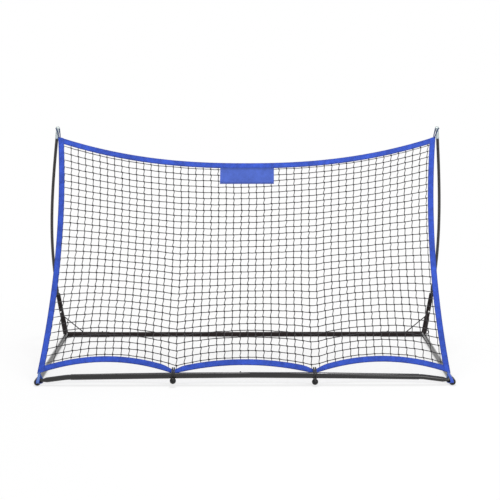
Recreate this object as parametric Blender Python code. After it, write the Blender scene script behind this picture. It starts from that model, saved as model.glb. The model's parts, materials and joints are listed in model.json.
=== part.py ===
"""Portable rebounder net: a shock-corded steel base, two bent fibreglass poles and a bordered net.

Metres, +Z up. The front, where the player stands, looks along -Y. Every place is worked out in base
coordinates, whose y is 0 on the line through the two round front connectors. One empty carries all the
pieces and puts the middle of the whole part over the origin.
"""

import math

import bmesh
import bpy
from mathutils import Vector

# Base frame: the plan of the tubes on the floor
RAIL_SPACING = 2.100
BASE_DEPTH = 0.905
TUBE_SIDES = 16
CORD_SIDES = 8
SMOOTH_ANGLE = math.radians(32.0)
GAP = 0.0003

# Front connectors: round moulded ends that join the front bar to the side rails
CONNECTOR_RADIUS = 0.0175
CONNECTOR_LENGTH = 0.036
CONNECTOR_FLOOR = 0.0022
CONNECTOR_NOSE_STEPS = 6
CONNECTOR_SPOT_ANGLE = math.radians(17.0)
CONNECTOR_SPOT_DISTANCE = 0.0115
NECK_SOCKET_DEPTH = 0.020

# Side rails
RAIL_DIAMETER = 0.030
RAIL_WALL = 0.0015

# Front bar: two halves that plug together in the middle, and two bent end tubes
FRONT_BAR_DIAMETER = 0.030
FRONT_BAR_WALL = 0.0015
FRONT_BAR_Y = 0.004
FRONT_BAR_END_X = 0.880
FRONT_BAR_END_HEIGHT = 0.043
FRONT_BAR_RISE = 0.010
FRONT_BAR_JOINT_X = 0.025
FRONT_BAR_STEPS = 4
SPIGOT_WALL = 0.0012
FRONT_SPIGOT_LENGTH = 0.085
END_TUBE_INSERT = 0.070
END_TUBE_BEND_START = 0.006
END_TUBE_BEND_LENGTH = 0.030
END_TUBE_BEND_STEPS = 3
NECK_RADIUS = 0.009
NECK_HEIGHT = 0.0225
NECK_LENGTH = 0.032
NECK_TAPER = 0.016
NECK_WALL = 0.0015

# Rear corners: welded steel, with a sleeve for the rear bar, a spigot for the rail and a leaning stub
REAR_SLEEVE_DIAMETER = 0.032
REAR_SLEEVE_WALL = 0.0015
REAR_SLEEVE_LENGTH = 0.250
STUB_DIAMETER = 0.030
STUB_WALL = 0.002
STUB_TOP = 0.112
STUB_BORE_FLOOR = 0.045
STUB_SETOUT = 0.005
RAIL_SPIGOT_LENGTH = 0.080
CORNER_CORE = 0.020

# Rear bar: two halves
REAR_BAR_DIAMETER = 0.0284
REAR_BAR_WALL = 0.0014
REAR_BAR_INSERT = 0.090
REAR_BAR_JOINT_X = 0.055
REAR_SPIGOT_LENGTH = 0.095

# Uprights and poles. The net pulls both pole tips a little to the right.
POLE_LEAN = math.radians(8.8)
UPRIGHT_DIAMETER = 0.0254
UPRIGHT_WALL = 0.0015
UPRIGHT_TOP = 0.256
FERRULE_WALL = 0.0012
FERRULE_BOTTOM = 0.138
POLE_DIAMETER = 0.0127
POLE_BOTTOM = 0.196
POLE_TIP_SETOUT = 0.003
POLE_TIP_SHIFT = 0.0155
POLE_TIP_Y = 0.741
POLE_TIP_HEIGHT = 1.2485
POLE_SIDES = 12
POLE_STEPS = 12
BUSHING_COLLAR_HEIGHT = 0.010
BUSHING_COLLAR_TOP_RADIUS = 0.0085

# Clear caps on the pole tips
CAP_LENGTH = 0.065
CAP_SLEEVE_RADIUS = 0.0085
CAP_HEAD_RADIUS = 0.0105
CAP_HEAD_HEIGHT = 0.010
CAP_ROOF = 0.014
CAP_FIT = 0.0005
CAP_DOME_LEVELS = (0.45, 0.75, 0.93, 1.0)
CAP_DOME_POWER = 2.4
CAP_DOME_FULLNESS = 0.94

# Net plane, which starts behind the front bar and leans back. The net hangs a little askew: its foot is
# pulled to the left and its head to the right.
NET_FOOT_Y = 0.032
NET_FOOT_HEIGHT = 0.068
NET_HEAD_DROP = 0.056
NET_FOOT_SHIFT = -0.005
NET_HEAD_SHIFT = 0.012
NET_THICKNESS = 0.0024
NET_CORD_WIDTH = 0.0026
NET_SEAT_GAP = 0.0016
NET_COLUMNS = 22
NET_ROWS = 12

# Border: a folded strip along each edge of the net
BORDER_WIDTH = 0.030
BORDER_THICKNESS = 0.005
BORDER_SLOT_DEPTH = 0.012
BORDER_BOTTOM_HALF = 1.047
BORDER_TOP_HALF = 1.044
BORDER_SIDE_BOW = 0.039
TOP_SAG = 0.163
TOP_SAG_POWER = 2.3
BOTTOM_CORNER_LIFT = -0.015
TOGGLE_X = 0.3585
TOGGLE_LIFT = -0.016
MIDDLE_SCALLOP_RISE = 0.0445
SIDE_SCALLOP_RISE = 0.061
PINCH_DEPTH = 0.010
PINCH_REACH = 0.035
PINCH_STATIONS = (-2.0, -1.2, -0.6, 0.0, 0.6, 1.2, 2.0)
PINCH_CLOSEST = 0.25
BORDER_STEPS = 20
SLANT_STEP = 0.002
SETTLE_ROUNDS = 6

# Tag that hangs below the middle of the top border
TAG_X = 0.003
TAG_WIDTH = 0.293
TAG_HEIGHT = 0.095
TAG_THICKNESS = 0.0024
TAG_STEPS = 6

# Webbing straps from the bottom corners of the border round the necks of the front bar
STRAP_WIDTH = 0.012
STRAP_THICKNESS = 0.0016
STRAP_SLACK = 0.0010
STRAP_ARC_STEPS = 10
STRAP_TOP_INSET = 0.009
STRAP_LEAN = 0.008

# Cord loops from the top corners of the border round the pole caps
TOP_LOOP_DIAMETER = 0.0046
TOP_LOOP_SPREAD = 0.0035
TOP_LOOP_INSET = 0.010
TOP_LOOP_ARC_STEPS = 10

# Elastic ball toggles that tie the border to the front bar
BALL_RADIUS = 0.016
BALL_STEPS = 8
BALL_MOUTH_RADIUS = 0.0092
BALL_BORE_PAST_CENTRE = 0.004
BALL_STANDOFF = 0.003
BALL_DROP_LEFT = math.radians(35.0)
BALL_DROP_RIGHT = math.radians(58.0)
BUNGEE_DIAMETER = 0.0045
BUNGEE_SPREAD = 0.004
BUNGEE_ARC_STEP = math.radians(24.0)
BUNGEE_TURN_STEPS = 5
BUNGEE_FLARE = 1.5

# Snap buttons: a domed pin on a leaf spring inside each plug-in end
BUTTON_RADIUS = 0.004
BUTTON_PROUD = 0.005
BUTTON_FLANGE_RADIUS = 0.005
BUTTON_FLANGE_THICKNESS = 0.0012
BUTTON_SIDES = 12
BUTTON_DOME_TURNS = (math.radians(30.0), math.radians(55.0), math.radians(78.0))
LEAF_WIDTH = 0.007
LEAF_THICKNESS = 0.0008
LEAF_LENGTH = 0.034
LEAF_FOLD_RISE = 0.002
FRONT_BUTTON_X = -0.023
REAR_BUTTON_X = 0.010
CORNER_BUTTON_FROM_CORNER = 0.210
UPRIGHT_BUTTON_HEIGHT = 0.155
UPRIGHT_BUTTON_TURN = math.radians(12.0)

# Shock cord where it shows, between the uprights and the rear bar and at the right rear corner
SHOCK_CORD_DIAMETER = 0.0045
SHOCK_CORD_HOLE_SIDES = 12
SHOCK_CORD_HEIGHT = 0.122
SHOCK_CORD_FOOT_FROM_CORNER = 0.0965
KNOT_RADIUS = 0.0042
KNOT_DEPTH = 0.011
CORNER_CORD_TOP = 0.040
CORNER_CORD_BULGE = 0.012
CORNER_CORD_STEPS = 8
CORNER_CORD_ROOT = 0.008

# Worked out from the sizes above
FACET = math.cos(math.pi / TUBE_SIDES)
HALF_SPACING = RAIL_SPACING / 2
RAIL_HEIGHT = CONNECTOR_RADIUS * FACET
REAR_HEIGHT = REAR_SLEEVE_DIAMETER / 2 * FACET
FRONT_BAR_BORE = FRONT_BAR_DIAMETER / 2 - FRONT_BAR_WALL
SPIGOT_RADIUS = FRONT_BAR_BORE - GAP
SPIGOT_BORE = SPIGOT_RADIUS - SPIGOT_WALL
REAR_SLEEVE_BORE = REAR_SLEEVE_DIAMETER / 2 - REAR_SLEEVE_WALL
REAR_BAR_BORE = REAR_BAR_DIAMETER / 2 - REAR_BAR_WALL
REAR_SPIGOT_RADIUS = REAR_BAR_BORE - GAP
REAR_SPIGOT_BORE = REAR_SPIGOT_RADIUS - SPIGOT_WALL
RAIL_BORE = RAIL_DIAMETER / 2 - RAIL_WALL
STUB_BORE = STUB_DIAMETER / 2 - STUB_WALL
UPRIGHT_BORE = UPRIGHT_DIAMETER / 2 - UPRIGHT_WALL
FERRULE_RADIUS = UPRIGHT_BORE - GAP
FERRULE_BORE = FERRULE_RADIUS - FERRULE_WALL
POLE_RADIUS = POLE_DIAMETER / 2
BUNGEE_RADIUS = BUNGEE_DIAMETER / 2
BALL_DISTANCE = FRONT_BAR_DIAMETER / 2 + BALL_STANDOFF + BALL_RADIUS
BALL_REACH = BALL_DISTANCE * math.cos(BALL_DROP_LEFT) + BALL_RADIUS - FRONT_BAR_Y
CENTRE_Y = (BASE_DEPTH + REAR_SLEEVE_DIAMETER / 2 - BALL_REACH) / 2
POLE_TIP_X = BORDER_TOP_HALF + POLE_TIP_SETOUT
NET_HEAD_Y = POLE_TIP_Y
NET_HEAD_HEIGHT = POLE_TIP_HEIGHT - NET_HEAD_DROP
NET_RUN = math.hypot(NET_HEAD_Y - NET_FOOT_Y, NET_HEAD_HEIGHT - NET_FOOT_HEIGHT)
NET_TILT = math.atan2(NET_HEAD_Y - NET_FOOT_Y, NET_HEAD_HEIGHT - NET_FOOT_HEIGHT)
UP = Vector((0.0, 0.0, 1.0))
SIDES = {"left": -1, "right": 1}
BALL_DROP = {"left": BALL_DROP_LEFT, "right": BALL_DROP_RIGHT}


def clear_scene():
    for obj in list(bpy.data.objects):
        bpy.data.objects.remove(obj, do_unlink=True)


def make_material(name, colour, roughness, metallic=0.0, alpha=1.0):
    material = bpy.data.materials.new(name)
    material.use_nodes = True
    shader = material.node_tree.nodes["Principled BSDF"]
    shader.inputs["Base Color"].default_value = (*colour, 1.0)
    shader.inputs["Roughness"].default_value = roughness
    shader.inputs["Metallic"].default_value = metallic
    shader.inputs["Alpha"].default_value = alpha
    return material


def make_materials():
    return {
        "black_steel": make_material("black_steel", (0.012, 0.011, 0.012), 0.28, 0.3),
        "zinc_steel": make_material("zinc_steel", (0.62, 0.62, 0.60), 0.25, 1.0),
        "black_plastic": make_material("black_plastic", (0.010, 0.010, 0.011), 0.35),
        "fibreglass": make_material("fibreglass", (0.020, 0.014, 0.012), 0.40),
        "clear_plastic": make_material("clear_plastic", (0.72, 0.74, 0.76), 0.15, 0.0, 0.6),
        "blue_nylon": make_material("blue_nylon", (0.025, 0.075, 0.62), 0.70),
        "tag_vinyl": make_material("tag_vinyl", (0.070, 0.180, 0.78), 0.55),
        "blue_cord": make_material("blue_cord", (0.020, 0.045, 0.30), 0.75),
        "net_cord": make_material("net_cord", (0.012, 0.012, 0.013), 0.80),
        "elastic_cord": make_material("elastic_cord", (0.010, 0.010, 0.011), 0.75),
    }


def ring(centre, direction, up, radius, sides):
    """Points of a polygon round a centre, with a flat side facing away from up."""
    along = direction.normalized()
    high = (up - along * up.dot(along)).normalized()
    wide = along.cross(high)
    turns = [(k + 0.5) * 2 * math.pi / sides for k in range(sides)]
    return [centre + (high * math.cos(t) + wide * math.sin(t)) * radius for t in turns]


def directions(path):
    """The direction of travel at each point of a path."""
    found = []
    for k, point in enumerate(path):
        before = path[max(k - 1, 0)]
        after = path[min(k + 1, len(path) - 1)]
        found.append((after - before).normalized())
    return found


def loft(rings, closed=False):
    """A closed mesh through rings of points: capped at both ends, or joined from the last to the first."""
    mesh = bmesh.new()
    rows = [[mesh.verts.new(point) for point in points] for points in rings]
    pairs = list(zip(rows, rows[1:]))
    if closed:
        pairs.append((rows[-1], rows[0]))
    else:
        mesh.faces.new(rows[0])
        mesh.faces.new(rows[-1])
    for here, there in pairs:
        for k in range(len(here)):
            after = (k + 1) % len(here)
            mesh.faces.new((here[k], here[after], there[after], there[k]))
    bmesh.ops.recalc_face_normals(mesh, faces=mesh.faces)
    return mesh


def add_object(name, mesh, material, origin, parent):
    """Makes an object of a mesh that is written in base coordinates, with its origin where it belongs."""
    bmesh.ops.translate(mesh, verts=mesh.verts, vec=-origin)
    data = bpy.data.meshes.new(name)
    mesh.to_mesh(data)
    mesh.free()
    data.materials.append(material)
    data.shade_smooth()
    data.set_sharp_from_angle(angle=SMOOTH_ANGLE)
    obj = bpy.data.objects.new(name, data)
    obj.location = origin
    obj.parent = parent
    bpy.context.scene.collection.objects.link(obj)
    return obj


def add_tool(target, mesh, operation, parent):
    """Unites a shape with a piece, or cuts it out of the piece, as a live Boolean."""
    count = len(target.modifiers)
    data = bpy.data.meshes.new(f"{target.name}_{operation.lower()}_{count}")
    mesh.to_mesh(data)
    mesh.free()
    tool = bpy.data.objects.new(data.name, data)
    tool.parent = parent
    tool.hide_render = True
    tool.display_type = "WIRE"
    bpy.context.scene.collection.objects.link(tool)
    modifier = target.modifiers.new(data.name, "BOOLEAN")
    modifier.object = tool
    modifier.operation = operation
    modifier.solver = "EXACT"


def hollow_tube(stations, up, sides=TUBE_SIDES):
    """A tube with open ends, from stations of centre, direction, outer radius and bore radius."""
    outside = [ring(c, d, up, outer, sides) for c, d, outer, bore in stations]
    inside = [ring(c, d, up, bore, sides) for c, d, outer, bore in reversed(stations)]
    return loft(outside + inside, closed=True)


def straight_tube(start, end, radius, bore, up):
    along = end - start
    return hollow_tube([(start, along, radius, bore), (end, along, radius, bore)], up)


def rod(start, end, radius, up, sides=TUBE_SIDES):
    along = end - start
    return loft([ring(start, along, up, radius, sides), ring(end, along, up, radius, sides)])


def cord(path, radius, up, radii=None):
    """A round cord along a path. radii may give a radius for each point, as at a knot."""
    sizes = radii or [radius] * len(path)
    rings = []
    high = up
    for centre, along, size in zip(path, directions(path), sizes):
        high = (high - along * high.dot(along)).normalized()
        rings.append(ring(centre, along, high, size, CORD_SIDES))
    return loft(rings)


def front_bar_point(x):
    """The axis of the front bar, which bows up a little towards the middle."""
    share = x / FRONT_BAR_END_X
    height = FRONT_BAR_END_HEIGHT + FRONT_BAR_RISE * (1 - share * share)
    return Vector((x, FRONT_BAR_Y, height))


def front_bar_slope(x):
    """The direction of the front bar's axis, towards +X."""
    return Vector((1.0, 0.0, -2 * FRONT_BAR_RISE * x / FRONT_BAR_END_X**2)).normalized()


def neck_point(side):
    """Where the axis of the end tube meets the middle of its connector."""
    return Vector((side * HALF_SPACING, FRONT_BAR_Y, NECK_HEIGHT))


def corner_point(side):
    """Where the axes of the rear bar and the upright meet."""
    return Vector((side * (HALF_SPACING + STUB_SETOUT), BASE_DEPTH, REAR_HEIGHT))


def lean_direction(side):
    return Vector((side * math.sin(POLE_LEAN), 0.0, math.cos(POLE_LEAN)))


def upright_point(side, height):
    """A point on the axis of the upright at a height above the floor."""
    start = corner_point(side)
    along = lean_direction(side)
    return start + along * ((height - start.z) / along.z)


def pole_point(side, height):
    """The pole's axis: straight in its socket, then bent like a rod that is pulled at its tip."""
    start = upright_point(side, UPRIGHT_TOP)
    if height <= UPRIGHT_TOP:
        return upright_point(side, height)
    whole = POLE_TIP_HEIGHT - UPRIGHT_TOP
    rise = height - UPRIGHT_TOP
    share = rise / whole
    bend = (3 * share**2 - share**3) / 2
    straight_tip = upright_point(side, POLE_TIP_HEIGHT)
    pull = Vector((side * POLE_TIP_X + POLE_TIP_SHIFT, POLE_TIP_Y, POLE_TIP_HEIGHT)) - straight_tip
    straight = start + (straight_tip - start) * share
    return straight + pull * bend


def pole_direction(side, height):
    step = 0.001
    return (pole_point(side, height) - pole_point(side, height - step)).normalized()


def net_point(across, along, proud=0.0):
    """A point of the net plane: across it, up along its slope, and proud of it towards the player."""
    slope = Vector((0.0, math.sin(NET_TILT), math.cos(NET_TILT)))
    normal = Vector((0.0, -math.cos(NET_TILT), math.sin(NET_TILT)))
    shift = NET_FOOT_SHIFT + (NET_HEAD_SHIFT - NET_FOOT_SHIFT) * along / NET_RUN
    foot = Vector((across + shift, NET_FOOT_Y, NET_FOOT_HEIGHT))
    return foot + slope * along + normal * proud


def side_outer(along):
    """Half the width of the bordered net at a place along its slope."""
    share = along / NET_RUN
    chord = BORDER_BOTTOM_HALF + (BORDER_TOP_HALF - BORDER_BOTTOM_HALF) * share
    return chord - BORDER_SIDE_BOW * 4 * share * (1 - share)


def top_outer(across):
    """The sagging upper edge of the border."""
    share = abs(across) / BORDER_TOP_HALF
    return NET_RUN - TOP_SAG * (1 - share**TOP_SAG_POWER)


def bottom_outer(across):
    """The lower edge of the border: three scallops that hang from the corners and the two toggles."""
    reach = abs(across)
    if reach <= TOGGLE_X:
        return TOGGLE_LIFT + MIDDLE_SCALLOP_RISE * (1 - (reach / TOGGLE_X) ** 2)
    share = min((reach - TOGGLE_X) / (BORDER_BOTTOM_HALF - TOGGLE_X), 1.0)
    chord = TOGGLE_LIFT + (BOTTOM_CORNER_LIFT - TOGGLE_LIFT) * share
    return chord + SIDE_SCALLOP_RISE * 4 * share * (1 - share)


def slant(edge, across):
    """How much longer a vertical cut across a sloping strip is than its width."""
    rise = edge(abs(across) + SLANT_STEP) - edge(max(abs(across) - SLANT_STEP, 0.0))
    return math.hypot(1.0, rise / (2 * SLANT_STEP))


def bottom_width(across):
    """The width of the bottom border, which the toggles pinch."""
    away = (abs(across) - TOGGLE_X) / PINCH_REACH
    return BORDER_WIDTH - PINCH_DEPTH * math.exp(-away * away)


def top_line(across, inward):
    """A line of the top border, a distance in from its edge."""
    return top_outer(across) - inward * slant(top_outer, across)


def bottom_line(across, inward):
    """A line of the bottom border, a distance in from its edge."""
    return bottom_outer(across) + min(inward, bottom_width(across))


def settle(across_share, half_width, line):
    """The place on a line that lies a share of the way out to a side edge."""
    along = line(across_share * BORDER_TOP_HALF)
    for _ in range(SETTLE_ROUNDS):
        across = across_share * half_width(along)
        along = line(across)
    return across, along


def border_section():
    """The folded strip in section: distances inward from its edge, and distances proud of the net."""
    skin = BORDER_THICKNESS / 2
    lip = NET_THICKNESS / 2 + GAP
    edge = BORDER_WIDTH
    floor = BORDER_WIDTH - BORDER_SLOT_DEPTH
    return [(0, skin), (edge, skin), (edge, lip), (floor, lip), (floor, -lip), (edge, -lip), (edge, -skin),
            (0, -skin)]


def cross_strip_ring(across_share, line):
    """One ring of the top or the bottom border, whose ends lie along the side borders."""

    def between_sides(along):
        return side_outer(along) - BORDER_WIDTH - GAP

    points = []
    for inward, proud in border_section():
        across, along = settle(across_share, between_sides, lambda x, depth=inward: line(x, depth))
        points.append(net_point(across, along, proud))
    return points


def side_strip_ring(share, side):
    """One ring of a side border, between the outlines of the bottom and the top edge."""
    points = []
    for inward, proud in border_section():
        low = bottom_outer(side_outer(0.0) - inward)
        high = top_outer(side_outer(NET_RUN) - inward)
        along = low + (high - low) * share
        across = side * (side_outer(along) - inward)
        points.append(net_point(across, along, proud))
    return points


def bottom_shares():
    """Stations of the bottom border: even ones, and closer ones where the toggles pinch it."""
    inner = BORDER_BOTTOM_HALF - BORDER_WIDTH
    shares = {round(-1 + 2 * k / BORDER_STEPS, 6) for k in range(BORDER_STEPS + 1)}
    for side in SIDES.values():
        for step in PINCH_STATIONS:
            shares.add(round((side * TOGGLE_X + step * PINCH_REACH) / inner, 6))
    ordered = sorted(shares)
    kept = [ordered[0]]
    for share in ordered[1:]:
        if share - kept[-1] > PINCH_CLOSEST * PINCH_REACH:
            kept.append(share)
    kept[-1] = 1.0
    return kept


def build_border(materials, parent):
    even = [-1 + 2 * k / BORDER_STEPS for k in range(BORDER_STEPS + 1)]
    blue = materials["blue_nylon"]
    top = loft([cross_strip_ring(share, top_line) for share in even])
    add_object("border_top", top, blue, net_point(0.0, top_outer(0.0)), parent)
    bottom = loft([cross_strip_ring(share, bottom_line) for share in bottom_shares()])
    add_object("border_bottom", bottom, blue, net_point(0.0, bottom_outer(0.0)), parent)
    for name, side in SIDES.items():
        rings = [side_strip_ring(k / BORDER_STEPS, side) for k in range(BORDER_STEPS + 1)]
        foot = net_point(side * BORDER_BOTTOM_HALF, 0.0)
        add_object(f"border_{name}", loft(rings), blue, foot, parent)


def net_grid_point(a, b, proud):
    """A point of the net: a runs from -1 to 1 across it and b from 0 to 1 up it, into the border's slot."""
    seat = BORDER_WIDTH - BORDER_SLOT_DEPTH + NET_SEAT_GAP
    tied = TOGGLE_X / (side_outer(bottom_line(TOGGLE_X, seat)) - seat)
    tied_column = round(tied * NET_COLUMNS / 2) * 2 / NET_COLUMNS
    tied_column *= 1 - NET_CORD_WIDTH / 2 / BORDER_TOP_HALF
    reach = abs(a)
    if reach < tied_column:
        share = reach * tied / tied_column
    else:
        share = tied + (reach - tied_column) * (1 - tied) / (1 - tied_column)
    share = math.copysign(share, a)

    def half_width(along):
        return side_outer(along) - seat

    def line(across):
        low = bottom_line(across, seat)
        high = top_line(across, seat)
        return low + (high - low) * b

    across, along = settle(share, half_width, line)
    return net_point(across, along, proud)


def net_lines(count, length, start):
    """The two edges of each cord of the net along one direction, as shares of that direction."""
    half = NET_CORD_WIDTH / 2 / length
    span = 1.0 - start
    edges = []
    for k in range(count + 1):
        middle = start + half + (span - 2 * half) * k / count
        edges += [middle - half, middle + half]
    return edges


def build_net(materials, parent):
    """A flat lattice in one piece, whose outer cords lie in the slots of the border."""
    columns = net_lines(NET_COLUMNS, BORDER_TOP_HALF, -1.0)
    rows = net_lines(NET_ROWS, NET_RUN, 0.0)
    mesh = bmesh.new()
    layers = []
    for proud in (-NET_THICKNESS / 2, NET_THICKNESS / 2):
        layers.append([[mesh.verts.new(net_grid_point(a, b, proud)) for b in rows] for a in columns])
    back, front = layers
    last_column = len(columns) - 2
    last_row = len(rows) - 2

    def is_cord(i, j):
        inside = 0 <= i <= last_column and 0 <= j <= last_row
        return inside and (i % 2 == 0 or j % 2 == 0)

    for i in range(last_column + 1):
        for j in range(last_row + 1):
            if not is_cord(i, j):
                continue
            corners = ((i, j), (i + 1, j), (i + 1, j + 1), (i, j + 1))
            for layer in layers:
                mesh.faces.new([layer[p][q] for p, q in corners])
            beside = ((i, j - 1), (i + 1, j), (i, j + 1), (i - 1, j))
            for k, neighbour in enumerate(beside):
                if is_cord(*neighbour):
                    continue
                p, q = corners[k], corners[(k + 1) % 4]
                wall = (back[p[0]][p[1]], back[q[0]][q[1]], front[q[0]][q[1]], front[p[0]][p[1]])
                mesh.faces.new(wall)
    bmesh.ops.recalc_face_normals(mesh, faces=mesh.faces)
    add_object("net", mesh, materials["net_cord"], net_point(0.0, NET_RUN / 2), parent)


def build_tag(materials, parent):
    """A stiff cloth tag in front of the net, whose top follows the edge of the border."""
    back = NET_THICKNESS / 2 + GAP
    front = back + TAG_THICKNESS
    rings = []
    for k in range(TAG_STEPS + 1):
        across = TAG_X + TAG_WIDTH * (k / TAG_STEPS - 0.5)
        high = top_line(across, BORDER_WIDTH) - GAP
        low = top_line(0.0, BORDER_WIDTH) - TAG_HEIGHT
        section = ((low, back), (high, back), (high, front), (low, front))
        rings.append([net_point(across, along, proud) for along, proud in section])
    origin = net_point(TAG_X, top_line(0.0, BORDER_WIDTH) - TAG_HEIGHT / 2)
    add_object("tag", loft(rings), materials["tag_vinyl"], origin, parent)


def build_connector(name, side, materials, parent):
    """A round front end with a socket for the rail behind it and one for the neck of the front bar."""
    centre = Vector((side * HALF_SPACING, 0.0, RAIL_HEIGHT))
    back = Vector((0.0, 1.0, 0.0))
    rail_socket = RAIL_DIAMETER / 2 + GAP
    floor_y = FRONT_BAR_Y + NECK_RADIUS + GAP + CONNECTOR_FLOOR
    rings = []
    for k in range(1, CONNECTOR_NOSE_STEPS + 1):
        turn = k / CONNECTOR_NOSE_STEPS * math.pi / 2
        place = centre - back * CONNECTOR_RADIUS * math.cos(turn)
        rings.append(ring(place, back, UP, CONNECTOR_RADIUS * math.sin(turn), TUBE_SIDES))
    end = centre + back * CONNECTOR_LENGTH
    floor = centre + back * floor_y
    rings.append(ring(end, back, UP, CONNECTOR_RADIUS, TUBE_SIDES))
    rings.append(ring(end, back, UP, rail_socket, TUBE_SIDES))
    rings.append(ring(floor, back, UP, rail_socket, TUBE_SIDES))
    body = add_object(f"corner_connector_{name}", loft(rings), materials["black_plastic"], centre, parent)
    neck_axis = end_tube_axis(side)
    neck = neck_point(side)
    reach = neck_axis * 2 * CONNECTOR_RADIUS
    depth = neck_axis * (NECK_SOCKET_DEPTH - CONNECTOR_RADIUS)
    socket = rod(neck - depth, neck + reach, NECK_RADIUS + GAP, UP)
    add_tool(body, socket, "DIFFERENCE", parent)
    normal = spot_normal(side)
    face = centre + normal * CONNECTOR_SPOT_DISTANCE
    spot = rod(face, face + normal * CONNECTOR_RADIUS, 2 * CONNECTOR_LENGTH, UP, 4)
    add_tool(body, spot, "DIFFERENCE", parent)


def spot_normal(side):
    """The way that the flat spot face of a connector looks: inward, and a little forward."""
    angle = CONNECTOR_SPOT_ANGLE
    return Vector((-side * math.cos(angle), -math.sin(angle), 0.0))


def end_tube_bend(side):
    """Start, corner and end of the bend in an end tube, just outside the front bar."""
    start = side * (FRONT_BAR_END_X + END_TUBE_BEND_START)
    slope = front_bar_slope(start) * side
    first = front_bar_point(start)
    corner = first + slope * END_TUBE_BEND_LENGTH / 2
    towards = (neck_point(side) - corner).normalized()
    return first, corner, corner + towards * END_TUBE_BEND_LENGTH / 2


def end_tube_axis(side):
    """The direction of an end tube at its connector, looking towards the middle of the bar."""
    corner = end_tube_bend(side)[1]
    return (corner - neck_point(side)).normalized()


def build_end_tube(name, side, materials, parent):
    """A bent tube that slopes down from the front bar and narrows to a neck in its connector."""
    first, corner, last = end_tube_bend(side)
    axis = end_tube_axis(side)
    neck = neck_point(side)
    inserted = side * (FRONT_BAR_END_X - END_TUBE_INSERT)
    bend = []
    for k in range(END_TUBE_BEND_STEPS + 1):
        t = k / END_TUBE_BEND_STEPS
        bend.append(first * (1 - t) ** 2 + corner * 2 * t * (1 - t) + last * t**2)
    wide_end = neck + axis * (NECK_LENGTH + NECK_TAPER)
    neck_end = neck + axis * NECK_LENGTH
    socket_floor = neck - axis * (NECK_SOCKET_DEPTH - CONNECTOR_RADIUS - GAP)
    path = [front_bar_point(inserted)] + bend + [wide_end, neck_end, socket_floor]
    heads = [front_bar_slope(inserted) * side] + directions(bend) + [-axis] * 3
    heads[1] = front_bar_slope(first.x) * side
    heads[len(bend)] = -axis
    radii = [SPIGOT_RADIUS] * (len(path) - 2) + [NECK_RADIUS] * 2
    stations = []
    for centre, head, radius in zip(path, heads, radii):
        wall = SPIGOT_WALL if radius == SPIGOT_RADIUS else NECK_WALL
        stations.append((centre, head, radius, radius - wall))
    mesh = hollow_tube(stations, UP)
    add_object(f"front_end_tube_{name}", mesh, materials["black_steel"], neck, parent)


def build_front_bar(materials, parent):
    """Two bowed halves. The right one has a narrower spigot that plugs into the left one."""
    steel = materials["black_steel"]
    radius = FRONT_BAR_DIAMETER / 2
    joint = FRONT_BAR_JOINT_X
    left = []
    for k in range(FRONT_BAR_STEPS + 1):
        x = joint - (joint + FRONT_BAR_END_X) * k / FRONT_BAR_STEPS
        left.append((front_bar_point(x), -front_bar_slope(x), radius, FRONT_BAR_BORE))
    obj = add_object("front_bar_left", hollow_tube(left, UP), steel, front_bar_point(joint), parent)
    shoulder = joint + GAP
    tip = joint - FRONT_SPIGOT_LENGTH
    right = [(front_bar_point(tip), front_bar_slope(tip), SPIGOT_RADIUS, SPIGOT_BORE)]
    right.append((front_bar_point(shoulder), front_bar_slope(shoulder), SPIGOT_RADIUS, SPIGOT_BORE))
    for k in range(FRONT_BAR_STEPS + 1):
        x = shoulder + (FRONT_BAR_END_X - shoulder) * k / FRONT_BAR_STEPS
        bore = SPIGOT_BORE if k == 0 else FRONT_BAR_BORE
        right.append((front_bar_point(x), front_bar_slope(x), radius, bore))
        if k == 0:
            step = x + SPIGOT_WALL
            right.append((front_bar_point(step), front_bar_slope(step), radius, FRONT_BAR_BORE))
    other = add_object("front_bar_right", hollow_tube(right, UP), steel, front_bar_point(shoulder), parent)
    hole = button_hole(front_bar_point(FRONT_BUTTON_X), UP, radius)
    add_tool(obj, hole.copy(), "DIFFERENCE", parent)
    add_tool(other, hole, "DIFFERENCE", parent)
    add_button("front_bar", front_bar_point(FRONT_BUTTON_X), UP, Vector((-1, 0, 0)), radius, SPIGOT_BORE,
               materials, parent)


def button_hole(centre, outward, tube_radius):
    """A cutter for the hole of a snap button, through the wall on one side only."""
    up = Vector((0.0, 1.0, 0.0))
    end = centre + outward * (tube_radius + BUTTON_PROUD)
    return rod(centre + outward * tube_radius / 3, end, BUTTON_RADIUS + GAP, up, BUTTON_SIDES)


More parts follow.
